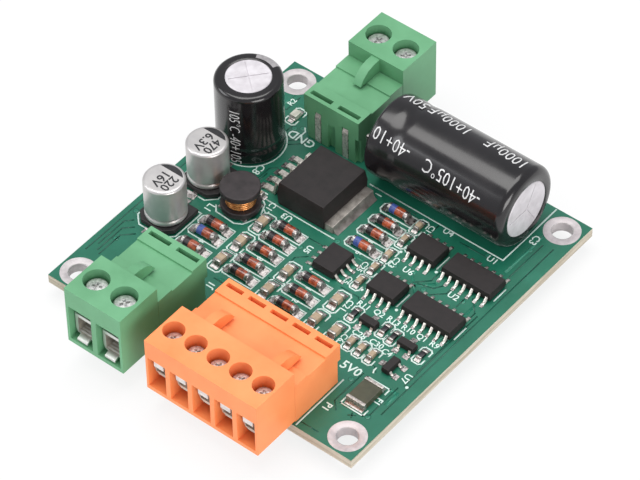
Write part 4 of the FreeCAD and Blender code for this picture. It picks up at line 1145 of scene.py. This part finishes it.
def buildCopper():
    # tracks show as lighter bands, the gaps round the copper fields as dark lines
    c = copper
    gaps = strips("darkGaps", c["gaps"], c["gapWide"], boardTop, c["gapThick"])
    finishPiece(gaps, "board", "board_mask", look["darkGap"])
    tracks = strips("tracks", c["tracks"], c["trackWide"], boardTop, c["trackThick"])
    finishPiece(tracks, "board", "board_mask", look["pourMask"])
    spots = [(x, y, boardTop) for x, y in c["vias"]]
    via = turned("via", [(0.1, 0.0), (0.1, 0.012), (0.34, 0.012), (c["via"], 0.0), (0.1, 0.0)], 16)
    vias = scatter(via, "vias", spots)
    finishPiece(smoothPiece(vias), "board", "board_mask", look["pourMask"])
    inner, outer, thick = c["via"], c["moat"], c["moatThick"]
    moat = turned("moat", [(inner, 0.0), (inner, thick), (outer, thick), (outer, 0.0), (inner, 0.0)], 16)
    moats = scatter(moat, "viaMoats", spots)
    finishPiece(moats, "board", "board_mask", look["darkGap"])
    # each via's hole is a flat dark disc on the board: painted shade of the hole
    drill = addRod("drill", c["drill"], boardTop, boardTop + c["drillThick"], 16)
    drills = scatter(drill, "paintedViaHoleShades", c["vias"])
    finishPiece(drills, "board", "board_mask", look["paintedViaHoleShade"])


silk = dict(
    # line widths and the height of the ink above the board, in mm
    wide=0.23, ringWide=0.22, ringRadius=5.3, dotRadius=0.24, rise=0.006, thick=0.02,
    wordRise=0.024, wordThick=0.012, heavy=0.035, fine=0.02,
    # lines beside the regulator, the lying can and the signal header, and one near the standing can
    borders=[[(-13.9, 2.95), (-0.15, 2.95)], [(-2.8, 14.6), (21.25, 14.6), (21.25, 27.2)],
             [(17.6, -27.1), (17.6, -16.9)], [(-6.3, -27.1), (-6.3, -16.7)],
             [(-17.4, 17.6), (-16.9, 17.0), (-16.9, 16.3)]],
    # half of the outline round the inductor, from its centre
    coilCentre=(-14.6, -0.4), coil=[(-3.0, -2.0), (-2.2, -2.95), (1.3, -3.15), (2.4, -2.5), (3.25, -0.6)],
    # ends of the outline of the circuit that lies along Y
    circuit=[[(1.45, -3.85), (4.45, -3.85)],
             [(1.45, 1.85), (2.3, 1.85), (2.3, 1.5), (3.6, 1.5), (3.6, 1.85), (4.45, 1.85)]],
    fuse=[[(19.85, -20.3), (19.85, -19.2)], [(23.75, -20.3), (23.75, -19.2)],
          [(19.85, -15.4), (19.85, -14.3)], [(23.75, -15.4), (23.75, -14.3)],
          [(19.85, -20.3), (23.75, -20.3)], [(19.85, -14.3), (23.75, -14.3)]],
    # round the chip beside the regulator, and two short marks
    small=[[(-13.2, 3.85), (-15.0, 3.85), (-15.3, 3.55), (-15.3, 2.45), (-15.0, 2.15), (-13.2, 2.15)],
           [(20.0, -13.3), (19.8, -12.9), (19.8, -12.4)], [(-0.1, 13.7), (-1.0, 13.7)]],
    dots=[(15.25, 6.95), (15.3, -2.2), (25.3, -12.55), (8.9, 6.9), (9.1, -2.2), (1.0, -3.6)],
    # frames at the ends of chips: half width, and reach and inner reach from the centre
    brackets=dict(big=(1.1, 2.15, 0.75), small=(0.85, 1.6, 0.5), resistors=(0.85, 1.6, 0.5),
                  led=(0.95, 1.75, 0.6)),
)


def wordOn(text, x, y, size, turn, weight):
    words = lettering(text, size, weight, silk["wordThick"])
    words.data.transform(placed(x, y, boardTop + silk["wordRise"], turn))
    return words


def diodeOutline(x, y):
    # rectangle round both pads, its corners cut off at the banded end
    left, right, low, high, cut = x - 2.95, x + 2.75, y - 1.0, y + 1.0, 0.5
    return [(left + cut, low), (right, low), (right, high), (left + cut, high), (left, high - cut),
            (left, low + cut), (left + cut, low)]


def endBrackets(x, y, wide, out, back):
    # open frames at the two ends of a chip that lies along Y, with cut corners
    cut = 0.35
    near = [(x - wide, y - back), (x - wide, y - out + cut), (x - wide + cut, y - out),
            (x + wide - cut, y - out), (x + wide, y - out + cut), (x + wide, y - back)]
    return [near, [(a, 2 * y - b) for a, b in near]]


def canBrackets(x, y):
    # outline of the base, cut at its two -Y corners and broken where the terminals leave it
    a, cut, gap = 3.55, 1.4, 0.85
    right = [(x + gap, y + a), (x + a, y + a), (x + a, y - a + cut), (x + a - cut, y - a), (x + gap, y - a)]
    return [right, [(2 * x - u, v) for u, v in right]]


labels = dict(
    scale=1.3,
    # text, place, size and turn: 180 reads towards -X, -90 towards -Y
    wide=[("GND", -16.4, 15.6, 2.1, 180), ("5V0", 17.15, -14.65, 2.1, 0), ("P1", 18.85, -22.05, 1.5, -90),
          ("J1", -8.1, -14.7, 1.5, 90), ("U3", -8.1, 2.1, 1.5, 180), ("F1", 23.8, -17.0, 1.35, -90),
          ("U5", -1.75, -0.9, 1.3, -90)],
    fine=[("C8", -17.4, 6.9, 1.35, -90), ("C12", -11.2, 1.9, 1.15, -90), ("L1", -18.1, -3.4, 1.25, -90),
          ("U4", 11.9, 14.05, 1.15, 0), ("U6", 12.0, 4.6, 1.15, 0), ("U1", 20.05, 13.65, 1.15, 0),
          ("U2", 19.95, 4.75, 1.15, 0), ("C3", 22.4, 20.5, 1.25, -90), ("U7", 24.2, -11.3, 1.15, -90),
          ("R11", 11.2, -4.4, 1.05, 0), ("Q2", 13.8, -4.2, 1.05, 0), ("R13", 16.3, -4.1, 1.05, 0),
          ("R10", 18.9, -4.1, 1.05, 0), ("Q1", 21.3, -4.1, 1.05, 0), ("R9", 23.5, -4.1, 1.05, 0),
          ("C28", 14.05, -9.0, 1.05, 0), ("C30", 17.05, -8.9, 1.05, 0), ("C4", 19.2, -9.3, 1.05, 0),
          ("C21", 9.35, -5.9, 1.1, -90), ("C6", 12.7, -10.9, 1.05, -90), ("C17", 9.5, 12.6, 1.0, -90),
          ("C27", 9.4, 8.2, 1.0, -90), ("C23", 9.4, 4.7, 1.0, -90), ("C25", 6.4, 1.3, 1.0, -90),
          ("C5", 6.4, -2.0, 1.0, -90), ("0", -14.75, -6.85, 1.05, -90), ("4", -14.75, -9.05, 1.05, -90),
          ("7", -5.95, -1.25, 1.05, -90), ("8", -5.95, -3.85, 1.05, -90), ("8", -5.95, -6.55, 1.05, -90),
          ("3", -5.95, -9.4, 1.05, -90), ("1", 3.05, -6.75, 1.05, -90), ("2", 3.05, -9.65, 1.05, -90),
          ("9", 4.25, 11.2, 1.0, -90), ("7", 4.25, 8.45, 1.0, -90), ("3", 4.25, 5.85, 1.0, -90),
          ("6", 4.25, 3.0, 1.0, -90), ("R2", -22.3, 20.6, 1.0, 90), ("R15", -19.0, 20.4, 1.0, 180)],
)


def buildSilkscreen():
    wide = silk["borders"] + [diodeOutline(x, y) for x, y in diodeSpots]
    for kind, sizes in silk["brackets"].items():
        for x, y in chips[kind]:
            wide += endBrackets(x, y, *sizes)
    for x, y in smdSpots:
        wide += canBrackets(x, y)
    x, y = silk["coilCentre"]
    wide.append([(x + a, y + b) for a, b in silk["coil"]])
    wide.append([(x + a, y - b) for a, b in silk["coil"]])
    wide += silk["circuit"]
    for x, y in circuits["fourteen"]:
        wide += [[(x + 4.6, y - 1.2), (x + 4.6, y + 1.4)], [(x - 4.6, y - 1.4), (x - 4.6, y + 1.4)]]
    for x, y in circuits["eight"]:
        wide += [[(x + 2.75, y - 1.4), (x + 2.75, y + 1.4)], [(x - 2.75, y - 1.4), (x - 2.75, y + 1.4)]]
    wide += silk["fuse"] + silk["small"]
    level, thick = boardTop + silk["rise"], silk["thick"]
    lines = strips("silkLines", wide, silk["wide"], level, thick)
    circle = ringPath(upright["x"], upright["y"], silk["ringRadius"], 56)
    ring = strips("silkRing", [circle], silk["ringWide"], level, thick)
    dots = scatter(addRod("dot", silk["dotRadius"], level, level + thick, 16), "dots", silk["dots"])
    words = [wordOn(*row, silk["heavy"]) for row in labels["wide"]]
    for text, x, y, size, turn in labels["fine"]:
        words.append(wordOn(text, x, y, size * labels["scale"], turn, silk["fine"]))
    silkscreen = joinAll("silkscreen", [lines, ring, dots] + words)
    return finishPiece(silkscreen, "board", "board_mask", look["silkInk"])


buildSolder()
buildTails()
print("solder done")
buildCopper()
buildSilkscreen()
print("silkscreen done")


# floor, light and camera

studio = dict(
    floorSize=6, floorDrop=0.00002, floorColour=(0.86, 0.86, 0.86, 1), floorRough=0.9, floorGlow=0.82,
    roomColour=(0.93, 0.95, 1.0, 1), roomStrength=0.55,
    # name, place, size, power and colour of each light; all point at the board's middle
    lights=[("overheadLight", (-0.10, 0.05, 0.75), (0.7, 0.5), 4.2, (1.0, 0.99, 0.97)),
            ("sideLight", (-0.55, -0.45, 0.40), (0.4, 0.4), 1.7, (0.97, 0.98, 1.0)),
            ("fillLight", (0.60, -0.25, 0.22), (0.4, 0.3), 2.1, (1.0, 0.98, 0.96))],
    # the camera that was fitted to the photo
    lens=213.147, sensor=36, place=(0.23503, -0.28085, 0.39624), turn=(0.75095678, 0.01354641, 0.68280658),
)


def emissionFloor():
    # a pale floor that still takes the object's shadow
    material = bpy.data.materials.new("paleFloor")
    material.use_nodes = True
    tree = material.node_tree
    shader = tree.nodes["Principled BSDF"]
    shader.inputs["Base Color"].default_value = studio["floorColour"]
    shader.inputs["Roughness"].default_value = studio["floorRough"]
    rays = tree.nodes.new("ShaderNodeLightPath")
    white = tree.nodes.new("ShaderNodeEmission")
    white.inputs["Strength"].default_value = 1.0
    mixed = tree.nodes.new("ShaderNodeMixShader")
    seen = tree.nodes.new("ShaderNodeMath")
    seen.operation = "MAXIMUM"
    more = tree.nodes.new("ShaderNodeMath")
    more.operation = "MAXIMUM"
    share = tree.nodes.new("ShaderNodeMath")
    share.operation = "MULTIPLY"
    share.inputs[1].default_value = studio["floorGlow"]
    link = tree.links.new
    link(rays.outputs["Is Camera Ray"], seen.inputs[0])
    link(rays.outputs["Is Glossy Ray"], seen.inputs[1])
    link(seen.outputs[0], more.inputs[0])
    link(rays.outputs["Is Transmission Ray"], more.inputs[1])
    link(more.outputs[0], share.inputs[0])
    link(share.outputs[0], mixed.inputs[0])
    link(shader.outputs[0], mixed.inputs[1])
    link(white.outputs[0], mixed.inputs[2])
    link(mixed.outputs[0], tree.nodes["Material Output"].inputs["Surface"])
    return material


def buildStage():
    deselectAll()
    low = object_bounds()[0]
    bpy.ops.mesh.primitive_plane_add(size=studio["floorSize"], location=(0, 0, low[2] - studio["floorDrop"]))
    floor = bpy.context.object
    floor.name = "floor"
    settle(floor)
    floor.data.materials.append(emissionFloor())


def buildWorld():
    world = bpy.data.worlds.new("softRoom")
    bpy.context.scene.world = world
    world.use_nodes = True
    tree = world.node_tree
    back = tree.nodes["Background"]
    back.inputs["Color"].default_value = studio["roomColour"]
    back.inputs["Strength"].default_value = studio["roomStrength"]
    rays = tree.nodes.new("ShaderNodeLightPath")
    white = tree.nodes.new("ShaderNodeBackground")
    white.inputs["Strength"].default_value = 1.0
    mixed = tree.nodes.new("ShaderNodeMixShader")
    link = tree.links.new
    link(rays.outputs["Is Camera Ray"], mixed.inputs[0])
    link(back.outputs[0], mixed.inputs[1])
    link(white.outputs[0], mixed.inputs[2])
    link(mixed.outputs[0], tree.nodes["World Output"].inputs["Surface"])


def addSoftbox(name, where, size, power, colour):
    light = bpy.data.lights.new(name, "AREA")
    light.shape = "RECTANGLE"
    light.size, light.size_y = size
    light.energy = power
    light.color = colour
    piece = bpy.data.objects.new(name, light)
    bpy.context.scene.collection.objects.link(piece)
    piece.location = where
    piece.rotation_euler = (-Vector(where)).to_track_quat("-Z", "Y").to_euler()


def buildCamera():
    camera = bpy.data.cameras.new("camera")
    camera.lens = studio["lens"]
    camera.sensor_width = studio["sensor"]
    camera.clip_start = 0.01
    camera.clip_end = 20
    piece = bpy.data.objects.new("camera", camera)
    bpy.context.scene.collection.objects.link(piece)
    piece.location = studio["place"]
    piece.rotation_euler = studio["turn"]
    bpy.context.scene.camera = piece


buildStage()
buildWorld()
for light in studio["lights"]:
    addSoftbox(*light)
buildCamera()
bpy.context.scene.view_settings.view_transform = "Standard"
